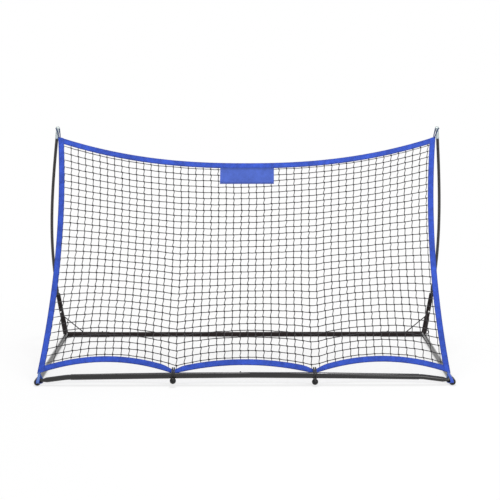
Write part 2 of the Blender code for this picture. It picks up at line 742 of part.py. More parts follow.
def add_button(name, centre, outward, along, tube_radius, bore, materials, parent):
    """A snap button that looks outward, and the leaf spring behind it in the bore."""
    flat_bore = bore * FACET
    flange_top = math.sqrt(flat_bore**2 - BUTTON_FLANGE_RADIUS**2) - GAP
    flange_bottom = flange_top - BUTTON_FLANGE_THICKNESS
    head = tube_radius + BUTTON_PROUD
    profile = [
        (flange_bottom, BUTTON_FLANGE_RADIUS),
        (flange_top, BUTTON_FLANGE_RADIUS),
        (flange_top, BUTTON_RADIUS),
        (head - BUTTON_RADIUS, BUTTON_RADIUS),
    ]
    for turn in BUTTON_DOME_TURNS:
        profile.append((head - BUTTON_RADIUS * (1 - math.sin(turn)), BUTTON_RADIUS * math.cos(turn)))
    rings = [ring(centre + outward * h, outward, along, r, BUTTON_SIDES) for h, r in profile]
    add_object(f"{name}_button", loft(rings), materials["zinc_steel"], centre + outward * head, parent)
    wide = outward.cross(along)
    rest = math.sqrt(flat_bore**2 - (LEAF_WIDTH / 2) ** 2) - GAP
    top = flange_bottom - GAP - LEAF_THICKNESS / 2
    low = LEAF_THICKNESS / 2 - rest
    bend_out = LEAF_LENGTH + 2 * LEAF_THICKNESS
    near = BUTTON_FLANGE_RADIUS
    spine = [(-near, top), (near, top), (LEAF_LENGTH, low + LEAF_FOLD_RISE),
             (bend_out, low + LEAF_FOLD_RISE / 2), (LEAF_LENGTH, low), (-near, low)]
    points = [centre + along * x + outward * z for x, z in spine]
    heads = directions(points)
    rings = []
    for point, head_way in zip(points, heads):
        thick = head_way.cross(wide).normalized() * LEAF_THICKNESS / 2
        half = wide * LEAF_WIDTH / 2
        rings.append([point - half - thick, point + half - thick, point + half + thick, point - half + thick])
    add_object(f"{name}_button_spring", loft(rings), materials["zinc_steel"], points[-1], parent)


def build_side_rail(name, side, materials, parent):
    back = Vector((0.0, 1.0, 0.0))
    centre = Vector((side * HALF_SPACING, 0.0, RAIL_HEIGHT))
    start = centre + back * (FRONT_BAR_Y + NECK_RADIUS + 2 * GAP + CONNECTOR_FLOOR)
    end = centre + back * (BASE_DEPTH - CORNER_CORE)
    mesh = straight_tube(start, end, RAIL_DIAMETER / 2, RAIL_BORE, UP)
    add_object(f"side_rail_{name}", mesh, materials["black_steel"], start, parent)


def build_rear_corner(name, side, materials, parent):
    """The welded corner: rear bar sleeve, rail spigot and leaning stub round one core."""
    corner = corner_point(side)
    inward = Vector((-side, 0.0, 0.0))
    forward = Vector((0.0, -1.0, 0.0))
    lean = lean_direction(side)
    sleeve_radius = REAR_SLEEVE_DIAMETER / 2
    sleeve_start = Vector((side * HALF_SPACING, BASE_DEPTH, REAR_HEIGHT))
    sleeve_end = sleeve_start + inward * REAR_SLEEVE_LENGTH
    sleeve = rod(corner, sleeve_end, sleeve_radius, UP)
    obj = add_object(f"rear_corner_{name}", sleeve, materials["black_steel"], corner, parent)
    stub_top = upright_point(side, STUB_TOP)
    add_tool(obj, rod(corner, stub_top, STUB_DIAMETER / 2, forward), "UNION", parent)
    ball = bmesh.new()
    bmesh.ops.create_uvsphere(ball, u_segments=TUBE_SIDES, v_segments=TUBE_SIDES // 2,
                              radius=sleeve_radius * FACET)
    bmesh.ops.translate(ball, verts=ball.verts, vec=corner)
    add_tool(obj, ball, "UNION", parent)
    rail_root = Vector((side * HALF_SPACING, BASE_DEPTH, RAIL_HEIGHT))
    spigot_radius = RAIL_BORE - GAP
    collar_end = rail_root + forward * (CORNER_CORE - GAP)
    spigot_end = collar_end + forward * RAIL_SPIGOT_LENGTH
    add_tool(obj, rod(rail_root, collar_end, RAIL_DIAMETER / 2, UP), "UNION", parent)
    add_tool(obj, rod(rail_root, spigot_end, spigot_radius, UP), "UNION", parent)
    bore_start = sleeve_start + inward * CORNER_CORE
    bore_end = sleeve_end + inward * GAP
    add_tool(obj, rod(bore_start, bore_end, REAR_SLEEVE_BORE, UP), "DIFFERENCE", parent)
    stub_floor = upright_point(side, STUB_BORE_FLOOR)
    add_tool(obj, rod(stub_floor, stub_top + lean * GAP, STUB_BORE, forward), "DIFFERENCE", parent)
    spigot_floor = collar_end - forward * SPIGOT_WALL
    spigot_bore = spigot_radius - SPIGOT_WALL
    add_tool(obj, rod(spigot_floor, spigot_end + forward * GAP, spigot_bore, UP), "DIFFERENCE", parent)
    button = sleeve_start + inward * CORNER_BUTTON_FROM_CORNER
    add_tool(obj, button_hole(button, UP, sleeve_radius), "DIFFERENCE", parent)
    add_tool(obj, shock_cord_hole(side), "DIFFERENCE", parent)
    if side > 0:
        add_tool(obj, corner_cord_mesh(side, SHOCK_CORD_DIAMETER / 2 + GAP, GAP), "DIFFERENCE", parent)


def build_rear_bar(materials, parent):
    """Two halves that reach into the corner sleeves. The right one plugs into the left one."""
    steel = materials["black_steel"]
    radius = REAR_BAR_DIAMETER / 2
    end_x = HALF_SPACING - REAR_SLEEVE_LENGTH + REAR_BAR_INSERT

    def at(x):
        return Vector((x, BASE_DEPTH, REAR_HEIGHT))

    along = Vector((1.0, 0.0, 0.0))
    joint = REAR_BAR_JOINT_X
    left_mesh = straight_tube(at(-end_x), at(joint), radius, REAR_BAR_BORE, UP)
    left = add_object("rear_bar_left", left_mesh, steel, at(joint), parent)
    shoulder = joint + GAP
    step = shoulder + SPIGOT_WALL
    stations = [
        (at(joint - REAR_SPIGOT_LENGTH), along, REAR_SPIGOT_RADIUS, REAR_SPIGOT_BORE),
        (at(shoulder), along, REAR_SPIGOT_RADIUS, REAR_SPIGOT_BORE),
        (at(shoulder), along, radius, REAR_SPIGOT_BORE),
        (at(step), along, radius, REAR_BAR_BORE),
        (at(end_x), along, radius, REAR_BAR_BORE),
    ]
    right = add_object("rear_bar_right", hollow_tube(stations, UP), steel, at(shoulder), parent)
    middle = button_hole(at(REAR_BUTTON_X), UP, radius)
    add_tool(left, middle.copy(), "DIFFERENCE", parent)
    add_tool(right, middle, "DIFFERENCE", parent)
    add_button("rear_bar_middle", at(REAR_BUTTON_X), UP, -along, radius, REAR_SPIGOT_BORE, materials, parent)
    button_x = HALF_SPACING - CORNER_BUTTON_FROM_CORNER
    for name, half in (("left", left), ("right", right)):
        side = SIDES[name]
        place = at(side * button_x)
        sleeve_radius = REAR_SLEEVE_DIAMETER / 2
        add_tool(half, button_hole(place, UP, sleeve_radius), "DIFFERENCE", parent)
        add_button(f"rear_bar_{name}", place, UP, -along * side, sleeve_radius, REAR_BAR_BORE, materials,
                   parent)


def upright_button_way(side):
    """The way that the button of an upright looks: forward, turned a little outward round the tube."""
    lean = lean_direction(side)
    forward = Vector((0.0, -1.0, 0.0))
    outward = Vector((side * math.cos(POLE_LEAN), 0.0, -math.sin(POLE_LEAN)))
    way = forward * math.cos(UPRIGHT_BUTTON_TURN) + outward * math.sin(UPRIGHT_BUTTON_TURN)
    return way.normalized(), lean


def build_upright(name, side, materials, parent):
    """The upper steel tube, the ferrule of the pole inside it and the bushing between them and the pole."""
    steel = materials["black_steel"]
    forward = Vector((0.0, -1.0, 0.0))
    lean = lean_direction(side)
    bottom = upright_point(side, STUB_BORE_FLOOR) + lean * GAP
    top = upright_point(side, UPRIGHT_TOP)
    radius = UPRIGHT_DIAMETER / 2
    mesh = straight_tube(bottom, top, radius, UPRIGHT_BORE, forward)
    tube = add_object(f"upright_tube_{name}", mesh, steel, bottom, parent)
    ferrule_bottom = upright_point(side, FERRULE_BOTTOM)
    mesh = straight_tube(ferrule_bottom, top, FERRULE_RADIUS, FERRULE_BORE, forward)
    ferrule = add_object(f"pole_ferrule_{name}", mesh, materials["zinc_steel"], ferrule_bottom, parent)
    way, along = upright_button_way(side)
    centre = upright_point(side, UPRIGHT_BUTTON_HEIGHT)
    hole = button_hole(centre, way, radius)
    add_tool(tube, hole.copy(), "DIFFERENCE", parent)
    add_tool(ferrule, hole, "DIFFERENCE", parent)
    add_tool(tube, shock_cord_hole(side), "DIFFERENCE", parent)
    add_button(f"upright_{name}", centre, way, along, radius, FERRULE_BORE, materials, parent)
    bore = POLE_RADIUS + GAP
    collar = top + lean * GAP
    collar_top = collar + lean * BUSHING_COLLAR_HEIGHT
    stations = [
        (upright_point(side, POLE_BOTTOM), lean, FERRULE_BORE - GAP, bore),
        (collar, lean, FERRULE_BORE - GAP, bore),
        (collar, lean, radius, bore),
        (collar + lean * BUSHING_COLLAR_HEIGHT / 2, lean, radius, bore),
        (collar_top, lean, BUSHING_COLLAR_TOP_RADIUS, bore),
    ]
    bushing = hollow_tube(stations, forward)
    add_object(f"pole_bushing_{name}", bushing, materials["black_plastic"], collar, parent)


def build_pole(name, side, materials, parent):
    """The fibreglass rod: straight in its bushing, then bent by the pull of the net."""
    forward = Vector((0.0, -1.0, 0.0))
    seat = UPRIGHT_TOP + 2 * BUSHING_COLLAR_HEIGHT
    inside = POLE_TIP_HEIGHT - CAP_ROOF
    heights = [POLE_BOTTOM, UPRIGHT_TOP]
    heights += [seat + (inside - seat) * (k / POLE_STEPS) for k in range(POLE_STEPS + 1)]
    rings = []
    for height in heights:
        way = pole_direction(side, height)
        rings.append(ring(pole_point(side, height), way, forward, POLE_RADIUS, POLE_SIDES))
    origin = upright_point(side, POLE_BOTTOM)
    add_object(f"pole_{name}", loft(rings), materials["fibreglass"], origin, parent)


def build_cap(name, side, materials, parent):
    """A clear cap over the tip of a pole, with a round head that keeps the loop of the border on."""
    forward = Vector((0.0, -1.0, 0.0))
    tip = pole_point(side, POLE_TIP_HEIGHT)
    way = pole_direction(side, POLE_TIP_HEIGHT)
    bore = POLE_RADIUS + CAP_FIT
    foot = POLE_TIP_HEIGHT - CAP_LENGTH
    middle = POLE_TIP_HEIGHT - (CAP_LENGTH + CAP_ROOF) / 2
    roof = POLE_TIP_HEIGHT - CAP_ROOF + GAP
    inner = [(pole_point(side, h), pole_direction(side, h), bore) for h in (roof, middle, foot)]
    outer = [(pole_point(side, h), pole_direction(side, h), CAP_SLEEVE_RADIUS) for h in (foot, middle)]
    neck = tip - way * CAP_HEAD_HEIGHT
    outer.append((neck, way, CAP_SLEEVE_RADIUS))
    outer.append((neck, way, CAP_HEAD_RADIUS))
    for share in CAP_DOME_LEVELS:
        level = tip - way * CAP_HEAD_HEIGHT * (1 - share)
        dome = math.sqrt(1 - CAP_DOME_FULLNESS * share**CAP_DOME_POWER)
        outer.append((level, way, CAP_HEAD_RADIUS * dome))
    rings = [ring(c, d, forward, r, POLE_SIDES) for c, d, r in inner + outer]
    add_object(f"pole_cap_{name}", loft(rings), materials["clear_plastic"], tip, parent)


def top_loop_route(side):
    """The route of a cord loop: from the corner of the border, round under the cap's head, and back."""
    tip = pole_point(side, POLE_TIP_HEIGHT)
    way = pole_direction(side, POLE_TIP_HEIGHT)
    radius = TOP_LOOP_DIAMETER / 2
    level = tip - way * (CAP_HEAD_HEIGHT + GAP + radius)
    inset = BORDER_TOP_HALF - TOP_LOOP_INSET
    edge = top_outer(inset + TOP_LOOP_SPREAD + radius)
    foot = net_point(side * inset, edge + 2 * GAP + radius)
    to_foot = foot - level
    flat = to_foot - way * to_foot.dot(way)
    towards = flat.normalized()
    beside = way.cross(towards)
    reach = CAP_SLEEVE_RADIUS + GAP + radius
    slant_length = math.hypot(flat.length, TOP_LOOP_SPREAD)
    past = math.atan2(flat.length, TOP_LOOP_SPREAD) - math.acos(reach / slant_length)
    arc = []
    for k in range(TOP_LOOP_ARC_STEPS + 1):
        turn = (math.pi + 2 * past) * k / TOP_LOOP_ARC_STEPS - past
        arc.append(level + (beside * math.cos(turn) - towards * math.sin(turn)) * reach)
    spread = beside * TOP_LOOP_SPREAD
    return [foot + spread] + arc + [foot - spread]


def build_top_loop(name, side, materials, parent):
    route = top_loop_route(side)
    mesh = cord(route, TOP_LOOP_DIAMETER / 2, Vector((0.0, -1.0, 0.0)))
    add_object(f"top_loop_{name}", mesh, materials["blue_cord"], route[0], parent)


def end_tube_radius(along):
    """The radius of an end tube at a distance from the middle of its connector."""
    share = min(max((along - NECK_LENGTH) / NECK_TAPER, 0.0), 1.0)
    return NECK_RADIUS + (SPIGOT_RADIUS - NECK_RADIUS) * share


def strap_frame(side):
    """Where a strap goes round the end tube, its normal, its level way to the back, and the tube's radius.

    The strap lies beside its connector, or under the corner of the border where that is farther in.
    """
    normal = spot_normal(side)
    level = Vector((-side * math.sin(CONNECTOR_SPOT_ANGLE), math.cos(CONNECTOR_SPOT_ANGLE), 0.0))
    centre = Vector((side * HALF_SPACING, 0.0, RAIL_HEIGHT))
    middle = centre + normal * (CONNECTOR_SPOT_DISTANCE + GAP + STRAP_WIDTH / 2)
    neck = neck_point(side)
    axis = end_tube_axis(side)
    beside_connector = (middle - neck).dot(normal) / axis.dot(normal)
    under_corner = (HALF_SPACING - BORDER_BOTTOM_HALF + STRAP_TOP_INSET) / abs(axis.x)
    along = max(beside_connector, under_corner)
    return neck + axis * along, normal, level, end_tube_radius(along + STRAP_WIDTH / 2)


def build_strap(name, side, materials, parent):
    """A webbing strap that hangs from the corner of the border and passes round the neck of the bar."""
    hub, normal, level, tube_radius = strap_frame(side)
    slant_reach = STRAP_WIDTH / 2 * math.tan(CONNECTOR_SPOT_ANGLE)
    radius = tube_radius / math.cos(CONNECTOR_SPOT_ANGLE) + slant_reach + STRAP_SLACK + STRAP_THICKNESS / 2
    inset = min(BORDER_BOTTOM_HALF - STRAP_TOP_INSET, abs(hub.x) + STRAP_LEAN)
    lowest = bottom_outer(inset + STRAP_WIDTH / 2)
    top = net_point(side * inset, lowest - 2 * GAP - STRAP_THICKNESS / 2)
    to_top = top - hub
    flat = to_top - normal * to_top.dot(normal)
    distance = flat.length
    aim = math.atan2(flat.dot(UP), flat.dot(level))
    open_angle = math.acos(radius / distance)
    start = aim + open_angle
    sweep = 2 * math.pi - 2 * open_angle
    arc = []
    for k in range(STRAP_ARC_STEPS + 1):
        turn = start + sweep * k / STRAP_ARC_STEPS
        arc.append(hub + (level * math.cos(turn) + UP * math.sin(turn)) * radius)
    across = normal.cross(flat).normalized() * (STRAP_THICKNESS / 2 + GAP)
    if (arc[0] - hub).dot(across) < 0:
        across = -across
    path = [top + across] + arc + [top - across]
    heads = directions(path)
    rings = []
    for point, head in zip(path, heads):
        thick = head.cross(normal).normalized() * STRAP_THICKNESS / 2
        half = normal * STRAP_WIDTH / 2
        rings.append([point - half - thick, point + half - thick, point + half + thick, point - half + thick])
    add_object(f"corner_strap_{name}", loft(rings), materials["blue_nylon"], top, parent)


def toggle_hub(side):
    """The point of the front bar's axis that a toggle goes round."""
    return front_bar_point(side * TOGGLE_X + NET_FOOT_SHIFT)


def ball_way(drop):
    """The way from the front bar to a toggle ball: forward and down."""
    return Vector((0.0, -math.cos(drop), -math.sin(drop)))


def bungee_strand(side, drop):
    """One strand of a toggle: out of the ball, over the front bar, round the border and back under."""
    hub = toggle_hub(side)
    way = ball_way(drop)
    upward = Vector((0.0, way.z, -way.y))
    wrap = (FRONT_BAR_DIAMETER / 2 + GAP + BUNGEE_RADIUS) / math.cos(BUNGEE_ARC_STEP / 2)
    mouth = BALL_MOUTH_RADIUS - BUNGEE_RADIUS - GAP
    entry = math.sqrt(mouth**2 - BUNGEE_SPREAD**2)
    door = BALL_DISTANCE - math.sqrt(BALL_RADIUS**2 - BALL_MOUTH_RADIUS**2) - BUNGEE_RADIUS
    inside = BALL_DISTANCE - BUNGEE_RADIUS
    off = BORDER_THICKNESS / 2 + GAP + BUNGEE_RADIUS
    low = bottom_line(TOGGLE_X, 0.0)
    half = BUNGEE_SPREAD + BUNGEE_RADIUS
    edges = [bottom_line(TOGGLE_X + shift, BORDER_WIDTH) for shift in (-half, half)]
    high = max(edges) + GAP
    x = side * TOGGLE_X
    over_border = []
    for k in range(BUNGEE_TURN_STEPS + 1):
        turn = math.pi * k / BUNGEE_TURN_STEPS
        over_border.append(net_point(x, high + off * math.sin(turn), off * math.cos(turn)))
    over_border.append(net_point(x, low + BUNGEE_RADIUS, -off))

    def tangent(point, sense):
        reach = point - hub
        aim = math.atan2(reach.z, reach.y)
        return aim + sense * math.acos(wrap / math.hypot(reach.y, reach.z))

    def round_bar(first, last):
        count = max(round(abs(last - first) / BUNGEE_ARC_STEP), 1)
        turns = [first + (last - first) * k / count for k in range(count + 1)]
        return [hub + Vector((0.0, math.cos(t), math.sin(t))) * wrap for t in turns]

    ball_turn = math.atan2(way.z, way.y) % (2 * math.pi)
    lift_off = math.asin(min(entry / wrap * BUNGEE_FLARE, 1.0))
    front_arc = round_bar(ball_turn - lift_off, tangent(over_border[0], 1))
    back_arc = round_bar(tangent(over_border[-1], -1), ball_turn - 2 * math.pi + lift_off)
    start = [hub + way * inside + upward * entry, hub + way * door + upward * entry]
    finish = [hub + way * door - upward * entry, hub + way * inside - upward * entry]
    return start + front_arc + over_border + back_arc + finish


def bungee_route(side, drop):
    """Both strands, which are one cord that turns back inside the ball."""
    strand = bungee_strand(side, drop)
    right = Vector((BUNGEE_SPREAD, 0.0, 0.0))
    turn_back = strand[-1] + ball_way(drop) * BUNGEE_RADIUS
    return [p + right for p in strand] + [turn_back] + [p - right for p in reversed(strand)]


def build_toggle(name, side, materials, parent):
    drop = BALL_DROP[name]
    hub = toggle_hub(side)
    way = ball_way(drop)
    ball = hub + way * BALL_DISTANCE
    across = Vector((1.0, 0.0, 0.0))
    mouth_turn = math.asin(BALL_MOUTH_RADIUS / BALL_RADIUS)
    rings = []
    for k in range(1, BALL_STEPS + 1):
        turn = (math.pi - mouth_turn) * k / BALL_STEPS
        centre = ball + way * BALL_RADIUS * math.cos(turn)
        rings.append(ring(centre, way, across, BALL_RADIUS * math.sin(turn), TUBE_SIDES))
    floor = ball + way * BALL_BORE_PAST_CENTRE
    rings.append(ring(floor, way, across, BALL_MOUTH_RADIUS, TUBE_SIDES))
    add_object(f"bungee_ball_{name}", loft(rings), materials["black_plastic"], ball, parent)
    route = bungee_route(side, drop)
    mesh = cord(route, BUNGEE_RADIUS, across)
    add_object(f"bungee_loop_{name}", mesh, materials["elastic_cord"], hub, parent)


def shock_cord_ends(side):
    """Where the shock cord crosses the axis plane of the upright wall and of the rear sleeve wall."""
    inward = Vector((-side, 0.0, 0.0))
    high = upright_point(side, SHOCK_CORD_HEIGHT) + inward * UPRIGHT_DIAMETER / 2
    foot_x = side * (HALF_SPACING - SHOCK_CORD_FOOT_FROM_CORNER)
    low = Vector((foot_x, BASE_DEPTH, REAR_HEIGHT + REAR_SLEEVE_DIAMETER / 2 * FACET))
    return high, low


def shock_cord_hole(side):
    high, low = shock_cord_ends(side)
    along = (low - high).normalized()
    start = high - along * KNOT_DEPTH
    end = low + along * KNOT_DEPTH
    forward = Vector((0.0, -1.0, 0.0))
    return rod(start, end, SHOCK_CORD_DIAMETER / 2 + GAP, forward, SHOCK_CORD_HOLE_SIDES)


def build_shock_cord(name, side, materials, parent):
    """A taut cord between two holes, with a knot inside each tube."""
    high, low = shock_cord_ends(side)
    along = (low - high).normalized()
    radius = SHOCK_CORD_DIAMETER / 2
    spots = [
        (high - along * (KNOT_DEPTH + KNOT_RADIUS), radius),
        (high - along * (KNOT_DEPTH + KNOT_RADIUS / 2), KNOT_RADIUS),
        (high - along * (KNOT_DEPTH - KNOT_RADIUS / 2), KNOT_RADIUS),
        (high - along * (KNOT_DEPTH - KNOT_RADIUS), radius),
        (low + along * (KNOT_DEPTH - KNOT_RADIUS), radius),
        (low + along * (KNOT_DEPTH - KNOT_RADIUS / 2), KNOT_RADIUS),
        (low + along * (KNOT_DEPTH + KNOT_RADIUS / 2), KNOT_RADIUS),
        (low + along * (KNOT_DEPTH + KNOT_RADIUS), radius),
    ]
    path = [place for place, size in spots]
    sizes = [size for place, size in spots]
    mesh = cord(path, radius, Vector((0.0, -1.0, 0.0)), radii=sizes)
    add_object(f"shock_cord_{name}", mesh, materials["elastic_cord"], high, parent)


def corner_cord_mesh(side, radius, extra):
    """A short bow of cord on the outer side of a rear corner, with both ends in holes of the weldment."""
    high = upright_point(side, CORNER_CORD_TOP)
    low = corner_point(side)
    outward = Vector((side, 0.0, 0.0))
    reach = STUB_DIAMETER / 2
    middle = (high + low) / 2
    half = (high - low).z / 2
    path = [Vector((high.x, BASE_DEPTH, high.z)) + outward * (CORNER_CORD_ROOT - extra)]
    for k in range(CORNER_CORD_STEPS + 1):
        turn = math.pi / 2 - math.pi * k / CORNER_CORD_STEPS
        out = outward * (reach + CORNER_CORD_BULGE * math.cos(turn))
        path.append(middle + out + UP * half * math.sin(turn))
    path.append(low + outward * (CORNER_CORD_ROOT - extra))
    return cord(path, radius, Vector((0.0, -1.0, 0.0)))


def build_part():
    clear_scene()
    materials = make_materials()
    rebounder = bpy.data.objects.new("rebounder", None)
    rebounder.location = (0.0, -CENTRE_Y, 0.0)
    bpy.context.scene.collection.objects.link(rebounder)
    build_front_bar(materials, rebounder)
    build_rear_bar(materials, rebounder)
    for name, side in SIDES.items():
        build_connector(name, side, materials, rebounder)
        build_end_tube(name, side, materials, rebounder)
        build_side_rail(name, side, materials, rebounder)
        build_rear_corner(name, side, materials, rebounder)
        build_upright(name, side, materials, rebounder)
        build_pole(name, side, materials, rebounder)
        build_cap(name, side, materials, rebounder)
        build_top_loop(name, side, materials, rebounder)
        build_strap(name, side, materials, rebounder)
        build_toggle(name, side, materials, rebounder)
        build_shock_cord(name, side, materials, rebounder)
    bow = corner_cord_mesh(1, SHOCK_CORD_DIAMETER / 2, 0.0)
    add_object("corner_cord_right", bow, materials["elastic_cord"], corner_point(1), rebounder)
    build_border(materials, rebounder)
    build_net(materials, rebounder)
    build_tag(materials, rebounder)


build_part()
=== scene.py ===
"""A portable rebounder net, dressed for rendering: twine net, folded binding, steel tube, poles and cords.

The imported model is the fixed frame. Each operator makes one piece, or one group of like pieces, of the
finish that shows. Sizes are in metres, with the floor at height 0 and the player in front, at -Y.
"""

import json
import math

import bmesh
import bpy
import numpy as np
from bpy.props import FloatProperty, FloatVectorProperty, PointerProperty
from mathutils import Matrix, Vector
from mathutils.geometry import interpolate_bezier


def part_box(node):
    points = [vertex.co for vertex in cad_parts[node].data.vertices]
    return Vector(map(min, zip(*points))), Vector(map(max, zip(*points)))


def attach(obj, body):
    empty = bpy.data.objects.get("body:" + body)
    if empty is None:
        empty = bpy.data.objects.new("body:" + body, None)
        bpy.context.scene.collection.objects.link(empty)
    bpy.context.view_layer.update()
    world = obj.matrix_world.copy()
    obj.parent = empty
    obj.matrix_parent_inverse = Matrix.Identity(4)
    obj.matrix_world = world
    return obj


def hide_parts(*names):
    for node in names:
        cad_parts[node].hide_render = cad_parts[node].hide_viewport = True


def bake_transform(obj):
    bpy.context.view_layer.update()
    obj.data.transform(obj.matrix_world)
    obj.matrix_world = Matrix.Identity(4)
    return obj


bl_info = {
    "name": "Rebounder Net",
    "version": (1, 0, 0),
    "blender": (4, 5, 0),
    "location": "3D View > Sidebar > Rebounder",
    "description": "Builds the net, binding, tubes, poles and cords of a portable rebounder",
    "category": "Object",
}

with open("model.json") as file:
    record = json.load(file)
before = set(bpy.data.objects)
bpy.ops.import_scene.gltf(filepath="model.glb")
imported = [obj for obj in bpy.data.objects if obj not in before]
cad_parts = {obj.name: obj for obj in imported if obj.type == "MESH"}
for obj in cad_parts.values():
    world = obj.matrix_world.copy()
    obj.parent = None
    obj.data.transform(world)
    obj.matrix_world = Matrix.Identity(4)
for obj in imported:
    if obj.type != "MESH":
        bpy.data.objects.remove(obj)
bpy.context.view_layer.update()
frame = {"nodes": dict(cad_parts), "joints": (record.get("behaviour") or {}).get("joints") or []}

SIDES = {"left": -1, "right": 1}
RIGHT = Vector((1.0, 0.0, 0.0))
BACK = Vector((0.0, 1.0, 0.0))
UP = Vector((0.0, 0.0, 1.0))
GAP = 0.0003
WHITE = (1.0, 1.0, 1.0, 1.0)

# Base frame
HALF_SPACING = 1.050
BASE_DEPTH = 0.905
REAR_LOW, REAR_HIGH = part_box("rear_bar_left")
CENTRE_Y = BASE_DEPTH - (REAR_LOW.y + REAR_HIGH.y) / 2
REAR_HEIGHT = (REAR_LOW.z + REAR_HIGH.z) / 2
RAIL_LOW, RAIL_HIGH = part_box("side_rail_left")
CONNECTOR_RADIUS = (RAIL_LOW.z + RAIL_HIGH.z) / 2

# Front bar and its end tubes
FRONT_BAR_RADIUS = 0.015
FRONT_BAR_Y = 0.004
FRONT_BAR_END_X = 0.880
FRONT_BAR_END_HEIGHT = 0.043
FRONT_BAR_RISE = 0.010
BEND_START = 0.006
BEND_LENGTH = 0.030
NECK_HEIGHT = 0.0225
NECK_RADIUS = 0.009

# Uprights, poles and caps
STUB_SETOUT = 0.005
POLE_LEAN = math.radians(8.8)
UPRIGHT_TOP = 0.256
POLE_TIP_X = 1.047
POLE_TIP_SHIFT = 0.0155
POLE_TIP_Y = 0.741
POLE_TIP_HEIGHT = 1.2485
POLE_FIT_RADIUS = 0.00635
POLE_OPEN_RADIUS = 0.0084
POLE_FOOT = 0.196
POLE_SEAT = 0.276
POLE_TOP = 1.2325
POLE_STEPS = 60
CAP_FOOT = 1.1835
CAP_HEAD_HEIGHT = 0.0085
CAP_HEAD_RADIUS = 0.0116
CAP_SLEEVE_RADIUS = 0.0093
CAP_WAIST_RADIUS = 0.0068
CAP_WAIST_LENGTH = 0.008
CAP_ROLL = 0.0026
CAP_BRIM = 0.0012

# Net plane and the outline of the binding
NET_FOOT_Y = 0.032
NET_FOOT_HEIGHT = 0.068
NET_HEAD_Y = 0.741
NET_HEAD_HEIGHT = 1.1925
NET_FOOT_SHIFT = -0.005
NET_HEAD_SHIFT = 0.012
NET_RUN = math.hypot(NET_HEAD_Y - NET_FOOT_Y, NET_HEAD_HEIGHT - NET_FOOT_HEIGHT)
NET_TILT = math.atan2(NET_HEAD_Y - NET_FOOT_Y, NET_HEAD_HEIGHT - NET_FOOT_HEIGHT)
BORDER_WIDTH = 0.030
BORDER_BOTTOM_HALF = 1.047
BORDER_TOP_HALF = 1.044
BORDER_SIDE_BOW = 0.039
TOP_SAG = 0.163
TOP_SAG_POWER = 2.3
BOTTOM_CORNER_LIFT = -0.015
TOGGLE_X = 0.3585
TOGGLE_LIFT = -0.016
MIDDLE_SCALLOP_RISE = 0.0445
SIDE_SCALLOP_RISE = 0.061
PINCH_DEPTH = 0.010
PINCH_REACH = 0.035
NET_SEAT = 0.0196

# Cloth of the binding: its skin's distance from the net, its fold, and its waves as (length, size)
BORDER_SKIN = 0.0025
CLOTH_THICKNESS = 0.0010
FOLD_RADIUS = 0.0022
FOLD_TURNS = (50.0, 20.0, 0.0, -20.0, -50.0)
WAVES = ((0.23, 0.45), (0.081, 0.4), (0.037, 0.3), (0.017, 0.18))
PINCH_CREASING = 1.6
CROSS_RINGS = 300
SIDE_RINGS = 200
SEAM_INSETS = (BORDER_WIDTH * 0.85, BORDER_WIDTH * 0.13)

# Tag below the middle of the top binding
TAG_X = 0.003
TAG_WIDTH = 0.293
TAG_HEIGHT = 0.095
TAG_BACK = 0.0015
TAG_FRONT = 0.0039
TAG_HEM = 0.0006
TAG_HEM_CELLS = 4
TAG_COLUMNS = 72
TAG_ROWS = 26
TAG_RIPPLE = 0.0007
TAG_SEAM_INSET = 0.0055
TAG_CLEARANCE = 0.0024
TAG_CLEARANCE_REACH = 0.040

# Twine net: where its lattice starts, in meshes from the middle and from the foot, and how it is gripped
NET_SEED = 11
COLUMN_PHASE = 0.38
ROW_PHASE = 0.6
NET_TAPER = 0.012
GRIPPED_SHARE = 0.6
NET_WAVE = 0.0018
KNOT_SHAPE = (1.0, 0.85, 0.62)

# How the rows rise half-way up the net: everywhere, and over each toggle's notch (height, reach)
ROW_RISE = 0.0050
NOTCH_SPANS = {"left": (0.0125, 0.145), "right": (0.0200, 0.190)}

# How the rows rise towards the right near the top, and fall towards the left near the foot
RIGHT_RISE = 0.018
LEFT_FALL = 0.0115
TILT_FADE = 0.10

# How the columns stray outward half-way to each side: near the top, and at the foot
TOP_SPREAD = 0.0085
TOP_SPREAD_FROM = 0.35
FOOT_SPREAD = -0.0080
FOOT_SPREAD_TO = 0.17
TOP_DRIFT = -0.0050
TOP_DRIFT_FROM = 0.80
FOOT_DRIFT = 0.0060

# Elastic ball toggles
BALL_RADIUS = 0.016
BALL_MOUTH_RADIUS = 0.0092
BALL_BORE_PAST_CENTRE = 0.004
BALL_DISTANCE = 0.034
BALL_DROP = {"left": math.radians(35.0), "right": math.radians(58.0)}
BALL_SEAM = 0.00022
BUNGEE_RADIUS = 0.0036
BUNGEE_SPREAD = 0.0048
BUNGEE_ARC_STEP = math.radians(24.0)
BUNGEE_FLARE = 1.5

# Corner straps
CONNECTOR_SPOT_ANGLE = math.radians(17.0)
CONNECTOR_SPOT_DISTANCE = 0.0115
STRAP_WIDTH = 0.012
STRAP_THICKNESS = 0.0016
STRAP_SLACK = 0.0010
STRAP_TOP_INSET = 0.009
STRAP_NOSE_WIDTH = 0.0170
STRAP_NOSE_TURNS = (78.0, 14.0)
STRAP_NOSE_SIDES = (21.0, 15.0)
STRAP_BEND = 0.007
STRAP_SEAM = 0.006

